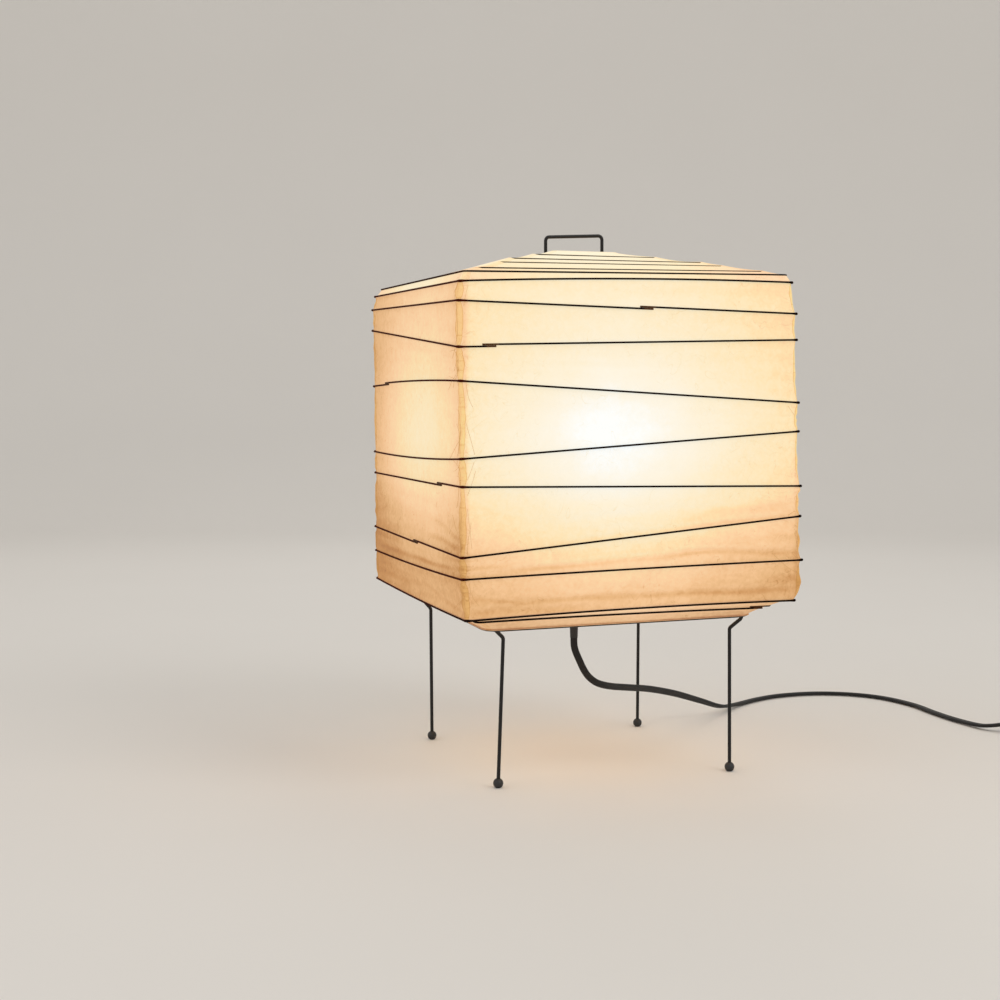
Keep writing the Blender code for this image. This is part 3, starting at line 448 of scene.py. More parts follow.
def bamboo_material():
    """Smoked bamboo, with a painted reddish glow on the hoops along the left of the shade."""
    material, tree, shader, place = new_material("dark_bamboo", 0.75)
    shader.inputs["Specular IOR Level"].default_value = 0.05
    x = node(tree, "ShaderNodeSeparateXYZ", {0: place}).outputs["X"]
    grain = noise_value(tree, place, 500, 4)
    dark = mix_colour(tree, grain, (0.005, 0.002, 0.001, 1), (0.014, 0.005, 0.002, 1))
    red = mix_colour(tree, grain, (0.045, 0.005, 0.001, 1), (0.075, 0.011, 0.003, 1))
    # Painted light: the hoops along the left side are tinted red, as by the glow of the lit paper round
    # them
    paint = mix_colour(tree, remap(tree, x, -0.1305, -0.1245, 1, 0), dark, red)
    tree.links.new(paint, shader.inputs["Base Color"])
    bump(tree, shader, grain, 0.0001, 0.4)
    return material


WIRE = speckled("black_painted_wire", (0.006, 0.006, 0.0065), (0.012, 0.011, 0.011), 900, 0.45, gloss=0.3)
PLASTIC = speckled("black_plastic", (0.014, 0.014, 0.015), (0.022, 0.022, 0.023), 1400, 0.50)
FLEX = speckled("black_flex", (0.009, 0.009, 0.010), (0.015, 0.014, 0.014), 700, 0.50, gloss=0.3)
BAMBOO = bamboo_material()
ROOF_BAMBOO = speckled("pale_bamboo", (0.035, 0.024, 0.010), (0.060, 0.042, 0.018), 500, 0.75, gloss=0.15)
LAP = speckled("brown_lap", (0.055, 0.020, 0.006), (0.110, 0.045, 0.012), 700, 0.70, gloss=0.2)
# The loose paper fibres glow with painted light, as if lit from inside the shade like the paper
HAIR = speckled("lit_paper_hair", (0.33, 0.195, 0.075), (0.39, 0.24, 0.10), 300, 0.80, gloss=0.1, glow=0.9)
STEEL = speckled("plated_steel", (0.52, 0.52, 0.53), (0.60, 0.60, 0.61), 600, 0.35, 1.0)
BRASS = speckled("bare_brass", (0.70, 0.50, 0.22), (0.62, 0.42, 0.17), 300, 0.33, 1.0)
PORCELAIN = speckled("glazed_porcelain", (0.80, 0.78, 0.73), (0.74, 0.72, 0.66), 250, 0.25)
OPAL = bulb_material()
PAPER_WALL = paper_material("lit_paper_wall", on_wall=True)
PAPER_SLOPE = paper_material("lit_paper_slope", on_wall=False)

FINISHES = {
    "black_wire": WIRE,
    "black_plastic": PLASTIC,
    "steel": STEEL,
    "brass": BRASS,
    "porcelain": PORCELAIN,
    "opal_glass": OPAL,
    "paper": PAPER_WALL,
    "hoop": BAMBOO,
    "flex": FLEX,
}


def dress_cad():
    for row in frame["record"]["subparts"]:
        data = NODES[row["node"]].data
        data.materials.clear()
        data.materials.append(FINISHES[row["material_slot"]])


# Meshes


def mesh_piece(name, points, faces, materials, body, stands_for=(), smooth_angle=40):
    mesh = bpy.data.meshes.new(name)
    mesh.from_pydata([tuple(p) for p in points], [], faces)
    for material in materials:
        mesh.materials.append(material)
    mesh.shade_smooth()
    mesh.set_sharp_from_angle(angle=math.radians(smooth_angle))
    piece = bpy.data.objects.new(name, mesh)
    bpy.context.scene.collection.objects.link(piece)
    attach(piece, body)
    if stands_for:
        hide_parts(*stands_for)
    return piece


Z_UP = (0, 0, 1)


def tube_mesh(path, ups, profile, scales=None):
    """Points and faces of a closed tube of this profile along a path."""
    path = np.array(path, float)
    scales = scales or [1] * len(path)
    tangents = np.gradient(path, axis=0)
    tangents /= np.linalg.norm(tangents, axis=1)[:, None]
    side = np.cross(tangents, np.array(ups, float))
    side /= np.linalg.norm(side, axis=1)[:, None]
    up = np.cross(side, tangents)
    count = len(profile)
    points = [p + k * (a * s + b * u) for p, s, u, k in zip(path, side, up, scales) for a, b in profile]
    faces = []
    for r in range(len(path) - 1):
        for i in range(count):
            j = (i + 1) % count
            faces.append((r * count + i, r * count + j, (r + 1) * count + j, (r + 1) * count + i))
    faces.append(tuple(range(count))[::-1])
    faces.append(tuple((len(path) - 1) * count + i for i in range(count)))
    return points, faces


def round_profile(radius, steps=10):
    angles = [2 * math.pi * i / steps for i in range(steps)]
    return [(radius * math.cos(a), radius * math.sin(a)) for a in angles]


SIDE_STEPS = 44
CORNER_STEPS = 6


def ring_plan(half, corner):
    """Points and outward normals round a rounded square, from the front right corner on."""
    points, normals = [], []
    inner = half - corner
    signs = ((1, -1), (1, 1), (-1, 1), (-1, -1))
    for turn, (sx, sy) in enumerate(signs):
        for i in range(CORNER_STEPS + 1):
            angle = (turn - 1 + i / CORNER_STEPS) * math.pi / 2
            c, s = math.cos(angle), math.sin(angle)
            points.append((sx * inner + corner * c, sy * inner + corner * s))
            normals.append((c, s))
        nx, ny = signs[(turn + 1) % 4]
        c, s = normals[-1]
        start = (sx * inner + corner * c, sy * inner + corner * s)
        end = (nx * inner + corner * c, ny * inner + corner * s)
        for i in range(1, SIDE_STEPS):
            share = i / SIDE_STEPS
            points.append(tuple(a + (b - a) * share for a, b in zip(start, end)))
            normals.append((c, s))
    return np.array(points), np.array(normals)


STRAIGHT = (0.0, 0.0)
# How much the middles of a hoop's left and front sides rise above a straight line
BOWS = {
    0: (0.0, 0.0021),
    3: (0.0016, 0.0),
    4: (-0.0020, 0.0),
    7: (-0.0012, 0.0006),
    8: (-0.0010, 0.0016),
}
UNDER_BOWS = (0.0, 0.0008)
BOW_DEPTH = 0.03  # of the strip along a side that its bow lifts


def height_at(row, x, y, bows=STRAIGHT):
    """Height of a hoop over a point of its plan."""
    half = SHADE_HALF - row[0]
    u = (x / half + 1) / 2
    v = (y / half + 1) / 2
    front = row[1] + (row[2] - row[1]) * u
    back = row[4] + (row[3] - row[4]) * u
    height = SHADE_BASE + front + (back - front) * v
    on_left = np.clip(1 - (x + half) / BOW_DEPTH, 0, 1)
    on_front = np.clip(1 - (y + half) / BOW_DEPTH, 0, 1)
    return height + bows[0] * on_left * 4 * v * (1 - v) + bows[1] * on_front * 4 * u * (1 - u)


def slipped(x, y, slip):
    """X of a hoop's point once the hoop has slipped."""
    right, front_left, back_left = slip
    leftward = np.clip((1 - x / SHADE_HALF) / 2, 0, 1)
    backward = np.clip((1 + y / SHADE_HALF) / 2, 0, 1)
    left = front_left + (back_left - front_left) * backward
    return x + right + (left - right) * leftward


def side_height(number, x, y):
    return height_at(SIDE_HOOPS[number], x, y, BOWS.get(number, STRAIGHT))


HAIR_RADIUS = 0.00011
HAIRS = (4, 12, 12, 36)  # loose fibres beside each corner seam, from the front right one on
HAIR_POINTS = 11
HAIR_SEED = 5
HAIR_DROP = (0.006, 0.022)  # along the seam
HAIR_BEND = 0.002
HAIR_CURL = (0.7, 2.6)  # power by which its way from the seam grows


def sheet_piece(name, rings, material, body, node_name, marks=None, hairs=()):
    """A closed thin sheet through rings of points, which are its outer face.

    Marks gives values at those points to the material. Hairs are paths over rows and columns.
    """
    count = len(rings[0])
    outer = np.array(rings)
    along = np.gradient(outer, axis=0)
    across = np.roll(outer, -1, axis=1) - np.roll(outer, 1, axis=1)
    normal = np.cross(along, across)
    normal /= np.linalg.norm(normal, axis=2)[:, :, None]
    inner = outer - PAPER * normal
    rows = len(rings)
    points = np.vstack([outer.reshape(-1, 3), inner.reshape(-1, 3)])
    offset = rows * count
    faces = []
    for r in range(rows - 1):
        for i in range(count):
            j = (i + 1) % count
            a, b, c, d = r * count + i, (r + 1) * count + i, (r + 1) * count + j, r * count + j
            faces.append((a, b, c, d))
            faces.append((offset + d, offset + c, offset + b, offset + a))
    for i in range(count):
        j = (i + 1) % count
        last = (rows - 1) * count
        faces.append((j, offset + j, offset + i, i))
        faces.append((last + i, offset + last + i, offset + last + j, last + j))
    sheet_faces = len(faces)
    for path in hairs:
        line = [on_sheet(outer, normal, *place) for place in path]
        tube_points, tube_faces = tube_mesh(line, [Z_UP] * len(line), round_profile(HAIR_RADIUS, 4))
        faces += [tuple(v + len(points) for v in face) for face in tube_faces]
        points = np.vstack([points, tube_points])
    piece = mesh_piece(name, points, faces, [material, HAIR], body, [node_name], 180)
    kinds = [0] * sheet_faces + [1] * (len(faces) - sheet_faces)
    piece.data.polygons.foreach_set("material_index", kinds)
    for key, values in (marks or {}).items():
        whole = np.zeros(len(points))
        whole[: 2 * offset] = np.tile(np.ravel(values), 2)
        piece.data.attributes.new(key, "FLOAT", "POINT").data.foreach_set("value", whole)
    return piece


def on_sheet(outer, normal, row, column):
    """A point just outside a sheet, at a row and column between its own."""
    r, c = math.floor(row), math.floor(column)
    down, on = row - r, column - c
    c, after = c % outer.shape[1], (c + 1) % outer.shape[1]
    upper = outer[r, c] * (1 - on) + outer[r, after] * on
    lower = outer[r + 1, c] * (1 - on) + outer[r + 1, after] * on
    return upper * (1 - down) + lower * down + normal[r, c] * HAIR_RADIUS


def corner_hairs(heights):
    """Paths of the fibres that stray from the corner seams, in rows and columns of the wall.

    Heights are those of its rows, from the top down.
    """
    pick = random.Random(HAIR_SEED)
    falls = heights[0] - np.array(heights)
    shares = [i / (HAIR_POINTS - 1) for i in range(HAIR_POINTS)]
    paths = []
    for corner, count in enumerate(HAIRS):
        for number in range(count):
            # Most stray over the side before the corner, and every fifth over the side after it
            side = 1 if number % 5 == 0 else -1
            start = corner * (CORNER_STEPS + SIDE_STEPS) + CORNER_STEPS / 2 * (1 + side)
            drop = pick.uniform(*HAIR_DROP) * pick.choice((-1, 1))
            fall = pick.uniform(max(0, -drop), falls[-1] - max(0, drop))
            stray = pick.uniform(0.3, 1.2) if side > 0 else pick.uniform(0.5, 1.0) ** 3 * 5
            curl = pick.uniform(*HAIR_CURL)
            bend = pick.uniform(-HAIR_BEND, HAIR_BEND) * min(1, stray)
            path = []
            for t in shares:
                at = fall + drop * t + bend * math.sin(math.pi * t)
                row = min(float(np.interp(at, falls, range(len(falls)))), len(falls) - 2)
                path.append((row, start + side * (0.05 + stray * t**curl)))
            paths.append(path)
    return paths


# Long folds, short folds and crumples: how close they are along and across the hoops, where in the
# noise they start, the way from one band to the next there, and their share of the depth
FOLDS = ((8, 120, 0, 17, 1.0), (30, 170, 40, 5, 0.5), (95, 110, 80, 3, 0.25))


def fold(x, y, drop, band):
    """Depth of the soft folds that run along the hoops, where 1 is a deep one and -1 stands out."""
    depth = 0
    for along, across, start, shift, share in FOLDS:
        depth += share * noise.noise(Vector((x * along, y * along, drop * across + band * shift + start)))
    return depth


# Steps between the rows of the wall's mesh, which are finer in the creased bands
ROW_STEP = 0.0016
FINE_ROW_STEP = 0.0011
FIRST_FINE_BAND = 5
LEAST_ROWS = 8
# How far the paper is drawn in between two hoops, as a share of their distance and in limits
SAG_SHARE = 0.03
LEAST_SAG = 0.0004
MOST_SAG = 0.0012
MOST_OUT = 0.0008  # that folds and creases push it out
FOLD_DEPTHS = (0.0003, 0.0003, 0.0004, 0.0005, 0.0006, 0.0008, 0.0009, 0.0010)
# How far the paper of each band swells at the back left corner, and how far round it
SWELLS = (0.0, 0.0003, 0.0012, 0.0018, 0.0015, 0.0024, 0.0022, 0.0022)
SWELL_REACH = 0.035
LAST_BAND = len(SIDE_HOOPS) - 2
RIGHT_SWELL = 0.0038  # of the lowest band at the front right corner
# Half widths of the strips of paper over the corner seams, on the front and the side
SEAM_FRONT = 0.0040
SEAM_SIDE = 0.0105
DEEP_CREASE = 0.0013
CREASE_TAPER = 0.18  # share of a crease's length over which each end fades
CREASE_WAVER = 0.012  # of its line, as a share of the band's height
CREASE_WAVES = 90
# Creases: band, side, where it starts and ends along X or Y, its share of the way down the
# band at both ends, depth and half width
CREASES = (
    (0, "front", 0.00, 0.13, 0.55, 0.35, 0.0004, 0.0030),
    (5, "front", -0.07, 0.13, 0.92, 0.88, 0.0006, 0.0016),
    (5, "front", 0.02, 0.13, 0.75, 0.55, 0.0010, 0.0050),
    (6, "front", -0.11, 0.07, 0.72, 0.62, 0.0011, 0.0020),
    (6, "front", 0.02, 0.131, 0.52, 0.82, 0.0012, 0.0020),
    (7, "front", -0.115, 0.131, 0.60, 0.72, 0.0013, 0.0022),
    (7, "front", -0.12, -0.03, 0.82, 0.85, 0.0009, 0.0024),
    (5, "left", -0.13, -0.03, 0.86, 0.78, 0.0008, 0.0018),
    (5, "left", 0.00, 0.13, 0.60, 0.35, 0.0003, 0.0070),
    (6, "left", -0.12, 0.13, 0.62, 0.66, 0.0007, 0.0018),
    (7, "left", -0.128, -0.01, 0.90, 0.35, 0.0007, 0.0016),
    (5, "left", -0.128, -0.05, 0.76, 0.52, 0.0007, 0.0015),
    (7, "front", -0.126, -0.080, 0.42, 0.72, 0.0007, 0.0014),
    (7, "front", -0.126, -0.070, 0.84, 0.66, 0.0006, 0.0014),
    (5, "front", -0.127, -0.085, 0.20, 0.52, 0.0005, 0.0016),
    (7, "left", 0.01, 0.13, 0.55, 0.60, 0.0006, 0.0024),
)


def crease_depth(band, plan, normals, t, tall):
    """How far the creases of a band draw the paper in, at a share t of the way down it."""
    depth = np.zeros(len(plan))
    for number, side, start, end, first, last, deep, wide in CREASES:
        if number != band:
            continue
        along = plan[:, 0] if side == "front" else plan[:, 1]
        on_side = -normals[:, 1] if side == "front" else -normals[:, 0]
        share = (along - start) / (end - start)
        ends = np.clip(np.minimum(share, 1 - share) / CREASE_TAPER, 0, 1) * (np.abs(share - 0.5) <= 0.5)
        centre = first + (last - first) * share + CREASE_WAVER * np.sin(along * CREASE_WAVES + band)
        away = (t - centre) * tall / wide
        depth += deep * ends * np.clip(on_side, 0, 1) ** 4 * np.exp(-away * away)
    return depth


def wall_draw(band, plan, half, t, tall, crease):
    """How far the paper of a band is drawn in, at a share t of the way down it."""
    x, y = plan[:, 0], plan[:, 1]
    bulge = 4 * t * (1 - t)
    draw = np.clip(tall * SAG_SHARE, LEAST_SAG, MOST_SAG) * bulge**0.6
    near_corner = 1 + 1.2 * (np.minimum(np.abs(x), np.abs(y)) / half) ** 12
    drop = band_height(band) * t
    folds = np.array([fold(px, py, drop, band) for px, py in plan])
    draw += FOLD_DEPTHS[band] * near_corner * bulge**0.7 * folds
    from_corner = np.hypot(x + half, y - half)
    draw -= SWELLS[band] * bulge * np.clip(1 - from_corner / SWELL_REACH, 0, 1)
    draw = np.maximum(draw + crease, -MOST_OUT)
    if band == LAST_BAND:
        from_right = np.hypot(x - half, y + half)
        # Most, which is 1, two thirds of the way down
        swell = 27 / 4 * t * t * (1 - t)
        draw -= RIGHT_SWELL * swell * np.clip(1 - from_right / SWELL_REACH, 0, 1)
    return draw


def band_height(band):
    """Mean height between a band's two hoops."""
    return (sum(SIDE_HOOPS[band][1:]) - sum(SIDE_HOOPS[band + 1][1:])) / 4


def make_wall():
    rings, slack, creased, from_seam = [], [], [], []
    for band in range(LAST_BAND + 1):
        above, below = SIDE_HOOPS[band], SIDE_HOOPS[band + 1]
        row_step = ROW_STEP if band < FIRST_FINE_BAND else FINE_ROW_STEP
        steps = max(LEAST_ROWS, round(band_height(band) / row_step))
        for step in range(steps + (band == LAST_BAND)):
            t = step / steps
            half = SHADE_HALF - (above[0] * (1 - t) + below[0] * t) - HOOP_REACH
            plan, normals = ring_plan(half, HOOP_CORNER)
            x, y = plan[:, 0], plan[:, 1]
            top = side_height(band, x, y)
            tall = top - side_height(band + 1, x, y)
            crease = crease_depth(band, plan, normals, t, tall)
            draw = wall_draw(band, plan, half, t, tall, crease)
            edges = ((half - np.abs(x)) / SEAM_FRONT, (half - np.abs(y)) / SEAM_SIDE)
            from_seam.append(np.maximum(*edges))
            slack.append(np.full(len(x), 4 * t * (1 - t)))
            creased.append(np.clip(crease / DEEP_CREASE, 0, 1))
            slip = np.array(SIDE_SLIPS[band]) * (1 - t) + np.array(SIDE_SLIPS[band + 1]) * t
            across = slipped(x, y, slip) - normals[:, 0] * draw
            rings.append(np.column_stack([across, y - normals[:, 1] * draw, top - tall * t]))
    marks = {"slack": slack, "crease": creased, "from_seam": from_seam}
    hairs = corner_hairs([ring[:, 2].mean() for ring in rings])
    wall = sheet_piece("paper_wall_sheet", rings, PAPER_WALL, "stand", "paper_wall", marks, hairs)
    top = SHADE_BASE + sum(SIDE_HOOPS[0][1:]) / 4
    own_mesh(wall)


SLOPE_STEP = 0.003  # between the rings of a slope's mesh
SLOPE_SAG = 0.03  # of the paper between two rings, as a share of their distance


def slope_rings(rows, bows, slips, leans, corners, sag, covers=None):
    """Rings of paper just inside these hoops, with the paper a little slack between them.

    Covers gives how far the paper is drawn up over each hoop on the left and right. Also
    returns how much each ring's points lie over such a hoop.
    """
    rings, over = [], []
    covers = covers or [0] * len(rows)
    for row, bow, slip, (reach, angle), corner, cover in zip(rows, bows, slips, leans, corners, covers):
        half = SHADE_HALF - row[0] - reach * math.cos(angle)
        plan, _ = ring_plan(half, corner)
        z = height_at(row, plan[:, 0], plan[:, 1], bow) - reach * math.sin(angle)
        beside = np.clip((np.abs(plan[:, 0]) - half + corner) / corner, 0, 1)
        here = np.column_stack([slipped(*plan.T, slip), plan[:, 1], z + cover * beside])
        if rings:
            before = rings[-1]
            gap = np.linalg.norm(here - before, axis=1).mean()
            steps = max(2, round(gap / SLOPE_STEP))
            shares = [i / steps for i in range(1, steps)]
            if cover:
                shares = [LINE_HALF / gap, *shares, 1 - LINE_HALF / gap]
            for t in shares:
                middle = before + (here - before) * t
                for point in middle:
                    soft = noise.noise(Vector((point[0] * 30, point[1] * 30, point[2] * 60)))
                    point[2] -= sag * gap * 4 * t * (1 - t) * (1 + 0.8 * soft)
                rings.append(middle)
                over.append(np.zeros(len(plan)))
        rings.append(here)
        over.append(beside if cover else np.zeros(len(plan)))
    return rings, over


# Angles round a hoop or a rim at which a sheet lies on it
TOP_WRAP_ANGLES = (80, 30)
ROOF_ANGLE = 65
EAVES_ANGLE = 45
UNDER_ANGLE = -55
BOTTOM_WRAP_ANGLES = (35, 15, -3)


def leaning(reach, angles):
    return [(reach, math.radians(angle)) for angle in angles]


def make_roof():
    """The roof sheet, which wraps over the top rim's wire."""
    rows = [TOP_RIM, TOP_RIM, *reversed(ROOF_HOOPS), SIDE_HOOPS[0]]
    slips = [NO_SLIP, NO_SLIP, *reversed(ROOF_SLIPS), SIDE_SLIPS[0]]
    leans = leaning(-TOP_WRAP, TOP_WRAP_ANGLES)
    leans += leaning(ROOF_REACH, [ROOF_ANGLE] * len(ROOF_HOOPS))
    leans += leaning(HOOP_REACH, [EAVES_ANGLE])
    covers = [0, 0] + [ROOF_COVER] * (len(ROOF_HOOPS) - 1) + [0, 0]
    bows = [STRAIGHT] * (len(rows) - 1) + [BOWS[0]]
    rings, over = slope_rings(rows, bows, slips, leans, [HOOP_CORNER] * len(rows), SLOPE_SAG, covers)
    marks = {"covered_hoop": over}
    sheet_piece("paper_roof_sheet", rings, PAPER_SLOPE, "stand", "paper_roof", marks)


def make_bottom():
    """The bottom sheet, which wraps round the outside of the bottom rim's wire."""
    wraps = len(BOTTOM_WRAP_ANGLES)
    rows = [SIDE_HOOPS[-1], UNDER_HOOP] + [BOTTOM_RIM] * wraps
    leans = leaning(HOOP_REACH, [UNDER_ANGLE] * 2) + leaning(-BOTTOM_WRAP, BOTTOM_WRAP_ANGLES)
    corners = [HOOP_CORNER] * 2 + [BOTTOM_RIM_CORNER] * wraps
    bows = [BOWS[len(SIDE_HOOPS) - 1], UNDER_BOWS] + [STRAIGHT] * wraps
    slips = [SIDE_SLIPS[-1]] + [NO_SLIP] * (wraps + 1)
    rings, _ = slope_rings(rows, bows, slips, leans, corners, -SLOPE_SAG)
    sheet_piece("paper_bottom_sheet", rings, PAPER_SLOPE, "shade_bottom", "paper_bottom")


LAP_HALF = 0.005
HOOP_STEP = 0.004
LEAST_STEP = 0.0004


def hoop_length(half, corner):
    return 4 * (2 * (half - corner) + corner * math.pi / 2)


def hoop_line(half, corner, start, length):
    """Places along a rounded square from start on, and their X and Y. Zero is the middle of the front."""
    inner = half - corner
    arc = corner * math.pi / 2
    run = 2 * inner
    corners_at = [inner + k * (run + arc) for k in range(-1, 8)]
    wanted = set(np.arange(start, start + length, HOOP_STEP).tolist() + [start + length])
    for at in corners_at:
        for i in range(CORNER_STEPS + 1):
            s = at + arc * i / CORNER_STEPS
            if start < s < start + length:
                wanted.add(s)
    points = []
    for s in sorted(wanted):
        if points and s - points[-1][0] < LEAST_STEP:
            continue
        turn, rest = divmod((s + inner) % hoop_length(half, corner), run + arc)
        if rest <= run:
            local = (rest - inner, -half)
        else:
            angle = (rest - run) / corner
            local = (inner + corner * math.sin(angle), -inner - corner * math.cos(angle))
        for _ in range(int(turn)):
            local = (-local[1], local[0])
        points.append((s, *local))
    return points


def make_hoop(node_name, row, bows, slip, lap, body, radius=HOOP_RADIUS, wood=BAMBOO, knot=KNOT_SCALE):
    """A hoop whose two ends lie side by side at its lap."""
    half = SHADE_HALF - row[0]
    start = lap - LAP_HALF
    whole = hoop_length(half, HOOP_CORNER) + 2 * LAP_HALF
    path, bands, scales = [], [], []
    for s, x, y in hoop_line(half, HOOP_CORNER, start, whole):
        share = (s - start) / whole
        z = float(height_at(row, x, y, bows))
        path.append((slipped(x, y, slip), y, z + radius * (1 - 2 * share)))
        from_corner = max(half - abs(x), half - abs(y))
        scales.append(1 + (knot - 1) * max(0, 1 - from_corner / KNOT_REACH))
        bands.append(int(s - start < 2 * LAP_HALF or start + whole - s < 2 * LAP_HALF))
    profile = round_profile(radius)
    points, faces = tube_mesh(path, [Z_UP] * len(path), profile, scales)
    piece = mesh_piece(f"{node_name}_bamboo", points, faces, [wood, LAP], body, [node_name])
    kinds = [band for band in bands[:-1] for _ in profile] + [1, 1]
    piece.data.polygons.foreach_set("material_index", kinds)


def left_lap(y):
    """Place along a side hoop of a point on its left side."""
    inner = SHADE_HALF - HOOP_CORNER
    arc = HOOP_CORNER * math.pi / 2
    return inner + 2 * (2 * inner + arc) + arc + (inner - y)


# Where the ends of each side hoop meet, along it from the middle of its front
LAPS = (0.42, 0.0102, -0.1086, left_lap(0.081), 0.35, left_lap(-0.0746), left_lap(-0.006), 0.50, 0.30)
UNDER_LAP = 0.1018
# Of the roof's hoops, in half widths, on the lowest one and how much further on the next
ROOF_LAP = 1.9
ROOF_LAP_STEP = 0.3
DARK_ROOF_HOOPS = 2


def make_hoops():
    for number, row in enumerate(SIDE_HOOPS):
        body = f"hoop_{number + 1}"
        if number == 0:
            body = "stand"
        if number == len(SIDE_HOOPS) - 1:
            body = "shade_bottom"
        bows = BOWS.get(number, STRAIGHT)
        make_hoop(f"side_hoop_{number + 1}", row, bows, SIDE_SLIPS[number], LAPS[number], body)
    make_hoop("under_hoop", UNDER_HOOP, UNDER_BOWS, NO_SLIP, UNDER_LAP, "shade_bottom", knot=NO_KNOT)
    # The roof's hoops are thinner, and paler towards the top
    for number, row in enumerate(ROOF_HOOPS):
        lap = (SHADE_HALF - row[0]) * (ROOF_LAP + ROOF_LAP_STEP * number)
        dark = number < DARK_ROOF_HOOPS
        radius = HOOP_RADIUS if dark else ROOF_HOOP_RADIUS
        wood = BAMBOO if dark else ROOF_BAMBOO
        name = f"roof_hoop_{number + 1}"
        make_hoop(name, row, STRAIGHT, ROOF_SLIPS[number], lap, "stand", radius, wood, NO_KNOT)


# Flex

FLEX_WIDTH = 0.0056
FLEX_CORE = 0.0015  # radius
FLEX_STEP = 0.003
FLEX_START = (0, 0, 0.0922)
FLEX_FACING = (0.300, 0.954, 0.0)  # across its wide side, where it hangs
TWIST_START = 0.16  # along it from its exit, where it begins to turn flat
TWIST_RUN = 0.15
CORD_ROUTE = (
    (0.0000, 0.0000, 0.0880),
    (0.0003, 0.0000, 0.0850),
    (0.0014, 0.0001, 0.0812),
    (0.0032, 0.0004, 0.0772),
    (0.0054, 0.0012, 0.0730),
    (0.0080, 0.0027, 0.0684),
    (0.0113, 0.0050, 0.0637),
    (0.0160, 0.0081, 0.0587),
    (0.0232, 0.0118, 0.0537),
    (0.0318, 0.0167, 0.0504),
    (0.0414, 0.0231, 0.0478),
    (0.0510, 0.0301, 0.0457),
    (0.0639, 0.0396, 0.0430),
    (0.0894, 0.0589, 0.0374),
    (0.1222, 0.0821, 0.0281),
    (0.1564, 0.1059, 0.0162),
    (0.1848, 0.1242, 0.0065),
    (0.2140, 0.1500, 0.0026),
    (0.2440, 0.1700, 0.0021),
    (0.2740, 0.1815, 0.0021),
    (0.3100, 0.1820, 0.0021),
    (0.3400, 0.1670, 0.0021),
    (0.3590, 0.1400, 0.0021),
    (0.3660, 0.1000, 0.0021),
    (0.3632, 0.0600, 0.0021),
    (0.3625, 0.0270, 0.0022),
    (0.3647, -0.0030, 0.0028),
    (0.3683, -0.0165, 0.0044),
    (0.3782, -0.0264, 0.0071),
)
SWITCH_SEAM = 0.00885
SWITCH_IN = (0.3977, -0.030, SWITCH_SEAM)
SWITCH_OUT = (0.4583, -0.030, SWITCH_SEAM)
LEAD_RUN = 0.006
COIL_CENTRE = (0.4955, 0.0088)
COIL_RADIUS = 0.0388
COIL_TURNS = 5.25
TURN_STEPS = 24
COIL_PITCH = 0.0064
COIL_LOW = 0.0037
COIL_LAYER = 0.0049
COIL_CLIMB = 0.5
PLUG_RUN = 0.029


def smooth(points):
    """A smooth curve through the points, read at even steps."""
    line = np.array([points[0], *points, points[-1]], float)
    shares = np.linspace(0, 1, 20, endpoint=False)[:, None]
    fine = []
    for a, b, c, d in zip(line, line[1:], line[2:], line[3:]):
        bow = (2 * a - 5 * b + 4 * c - d) * shares**2 + (3 * b - a - 3 * c + d) * shares**3
        fine.append((2 * b + (c - a) * shares + bow) / 2)
    fine = np.vstack([*fine, line[-1:]])
    along = np.append(0, np.cumsum(np.linalg.norm(np.diff(fine, axis=0), axis=1)))
    at = np.linspace(0, along[-1], round(along[-1] / FLEX_STEP) + 1)
    return np.column_stack([np.interp(at, along, fine[:, k]) for k in range(3)]), at


def twin_profile():
    """Outline of a flat twin flex: two round cores side by side."""
    offset = FLEX_WIDTH / 2 - FLEX_CORE
    angles = [math.radians(a) for a in range(-126, 127, 28)]
    right = [(offset + FLEX_CORE * math.cos(a), FLEX_CORE * math.sin(a)) for a in angles]
    return right + [(-a, b) for a, b in reversed(right)]


def eased(share):
    """A share held between 0 and 1, with soft ends."""
    share = min(max(share, 0), 1)
    return share * share * (3 - 2 * share)


def make_lamp_flex():
    route = [FLEX_START, *CORD_ROUTE, (SWITCH_IN[0] - LEAD_RUN, *SWITCH_IN[1:]), SWITCH_IN]
    path, at = smooth(route)
    # The flex hangs with its wide side to the front, and then lies flat
    ups = []
    for s in at:
        lie = eased((s - TWIST_START) / TWIST_RUN)
        ups.append((1 - lie) * np.array(FLEX_FACING) + lie * np.array(Z_UP))
    points, faces = tube_mesh(path, ups, twin_profile())
    lamp_flex = mesh_piece("flex_to_switch", points, faces, [FLEX], "stand", ["cord_from_lamp"])
    switch = ["switch_base", "switch_cover", "switch_rocker", "rocker_pin"]
    switch += ["switch_screw_lamp_side", "switch_screw_plug_side"]


def coil_loops():
    """Middle line of the coil: it winds in on the floor, and out again in a layer above."""
    loops = []
    count = round(COIL_TURNS * TURN_STEPS)
    inner = COIL_RADIUS - COIL_PITCH * COIL_TURNS / 2
    for i in range(count + 1):
        turn = COIL_TURNS * i / count
        radius = inner + COIL_PITCH * abs(turn - COIL_TURNS / 2)
        angle = 2 * math.pi * turn - math.pi / 2
        x = COIL_CENTRE[0] + radius * math.cos(angle)
        y = COIL_CENTRE[1] + radius * math.sin(angle)
        climb = eased((turn - COIL_TURNS / 2) / COIL_CLIMB + 0.5)
        loops.append((x, y, COIL_LOW + COIL_LAYER * climb))
    return loops


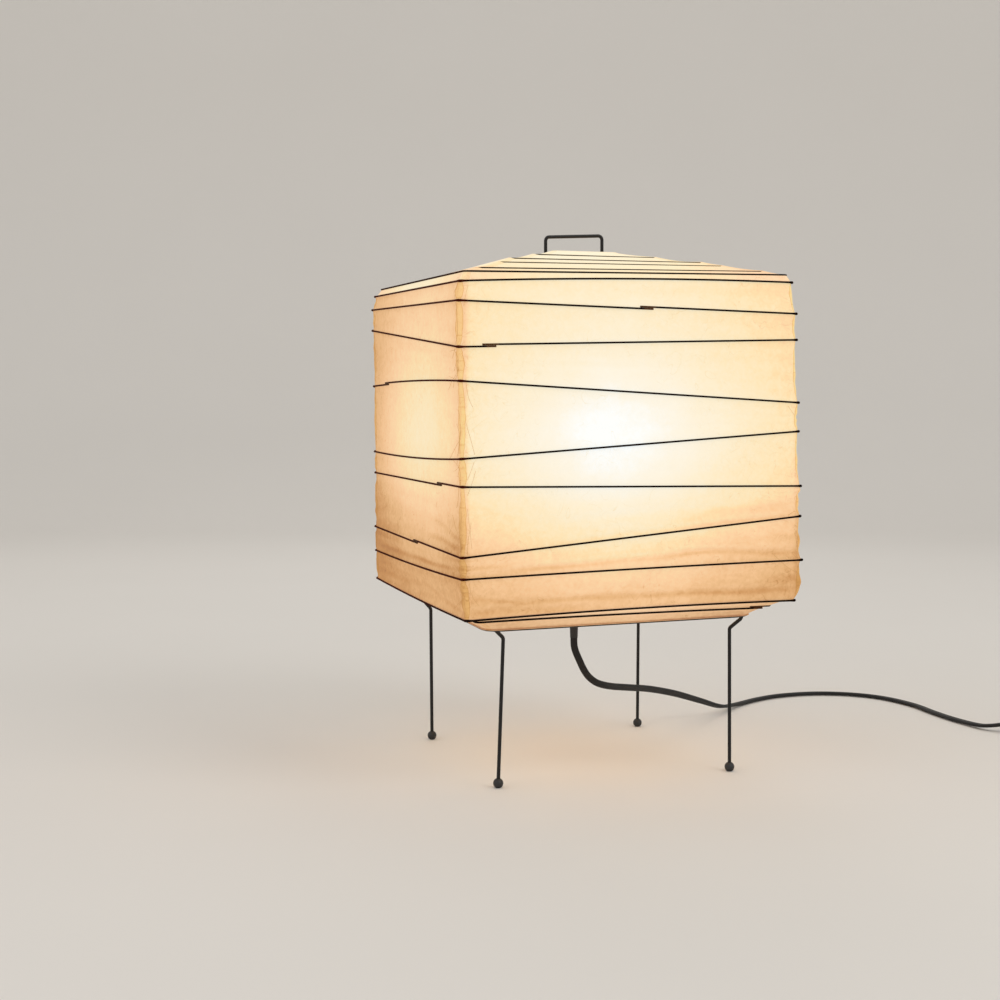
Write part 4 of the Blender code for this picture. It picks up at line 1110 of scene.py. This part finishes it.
def make_coil():
    lead = [SWITCH_OUT, (SWITCH_OUT[0] + LEAD_RUN, *SWITCH_OUT[1:])]
    lead.append(((lead[1][0] + COIL_CENTRE[0]) / 2, SWITCH_OUT[1], (SWITCH_SEAM + COIL_LOW) / 2))
    loops = coil_loops()
    end = (loops[-1][0], loops[-1][1] + PLUG_RUN, loops[-1][2])
    path, _ = smooth([*lead, *loops, end])
    points, faces = tube_mesh(path, [Z_UP] * len(path), twin_profile())
    coil = mesh_piece("flex_coil", points, faces, [FLEX], "stand", ["cord_coil"])


# Camera, floor and light

YAW = math.radians(-17.482)  # of the camera, and of the backdrop across from it


def make_camera():
    data = bpy.data.cameras.new("camera")
    data.lens = 59.4
    data.sensor_width = 36
    data.shift_y = -0.092
    camera = bpy.data.objects.new("camera", data)
    camera.location = (-0.4466, -1.2239, 0.2732)
    camera.rotation_euler = (math.pi / 2, 0, YAW)
    bpy.context.scene.collection.objects.link(camera)
    bpy.context.scene.camera = camera


# The floor runs away from the camera and bends up into the backdrop
FLOOR_FRONT = -4.0
FLOOR_BACK = 2.2
FLOOR_HALF = 6
BACKDROP_BEND = 1.2
BACKDROP_TOP = 5.0
BEND_STEPS = 16


def make_stage():
    profile = [(FLOOR_FRONT, 0.0)]
    for i in range(BEND_STEPS + 1):
        angle = math.pi / 2 * i / BEND_STEPS
        run = FLOOR_BACK + BACKDROP_BEND * math.sin(angle)
        profile.append((run, BACKDROP_BEND * (1 - math.cos(angle))))
    profile.append((FLOOR_BACK + BACKDROP_BEND, BACKDROP_TOP))
    c, s = math.cos(YAW), math.sin(YAW)
    points, faces = [], []
    for side in (-FLOOR_HALF, FLOOR_HALF):
        for run, z in profile:
            points.append((side * c - run * s, side * s + run * c, z))
    count = len(profile)
    for i in range(count - 1):
        faces.append((i, count + i, count + i + 1, i + 1))
    mesh = bpy.data.meshes.new("floor")
    mesh.from_pydata(points, [], faces)
    mesh.shade_smooth()
    floor = bpy.data.objects.new("floor", mesh)
    bpy.context.scene.collection.objects.link(floor)
    material, tree, shader, place = new_material("pale_floor", 0.7)
    tone = noise_value(tree, place, 3, 2)
    paint = mix_colour(tree, tone, (0.79, 0.765, 0.73, 1), (0.81, 0.785, 0.75, 1))
    tree.links.new(paint, shader.inputs["Base Color"])
    shader.inputs["Specular IOR Level"].default_value = 0.2
    mesh.materials.append(material)


def area_light(name, place, target, size, power, colour):
    data = bpy.data.lights.new(name, "AREA")
    data.shape = "DISK"
    data.size = size
    data.energy = power
    data.color = colour
    lamp = bpy.data.objects.new(name, data)
    lamp.location = place
    lamp.rotation_euler = (Vector(target) - Vector(place)).to_track_quat("-Z", "Y").to_euler()
    bpy.context.scene.collection.objects.link(lamp)


def make_light():
    middle = (0, 0, 0.2)
    area_light("key", (1.1, -1.6, 1.7), middle, 1.4, 12, (1.0, 0.97, 0.93))
    area_light("fill", (-1.8, -0.6, 1.2), middle, 1.6, 4, (0.98, 0.98, 1.0))
    area_light("back", (0.4, 1.8, 1.6), middle, 1.4, 5, (1.0, 0.97, 0.93))
    world = bpy.data.worlds.new("studio")
    world.use_nodes = True
    back = world.node_tree.nodes["Background"]
    back.inputs["Color"].default_value = (1.0, 0.98, 0.95, 1)
    back.inputs["Strength"].default_value = 0.66
    bpy.context.scene.world = world
    bpy.context.scene.view_settings.view_transform = "Standard"


make_camera()
make_lamp_flex()
make_coil()
make_stage()
make_light()
dress_cad()
make_wall()
make_roof()
make_bottom()
make_hoops()
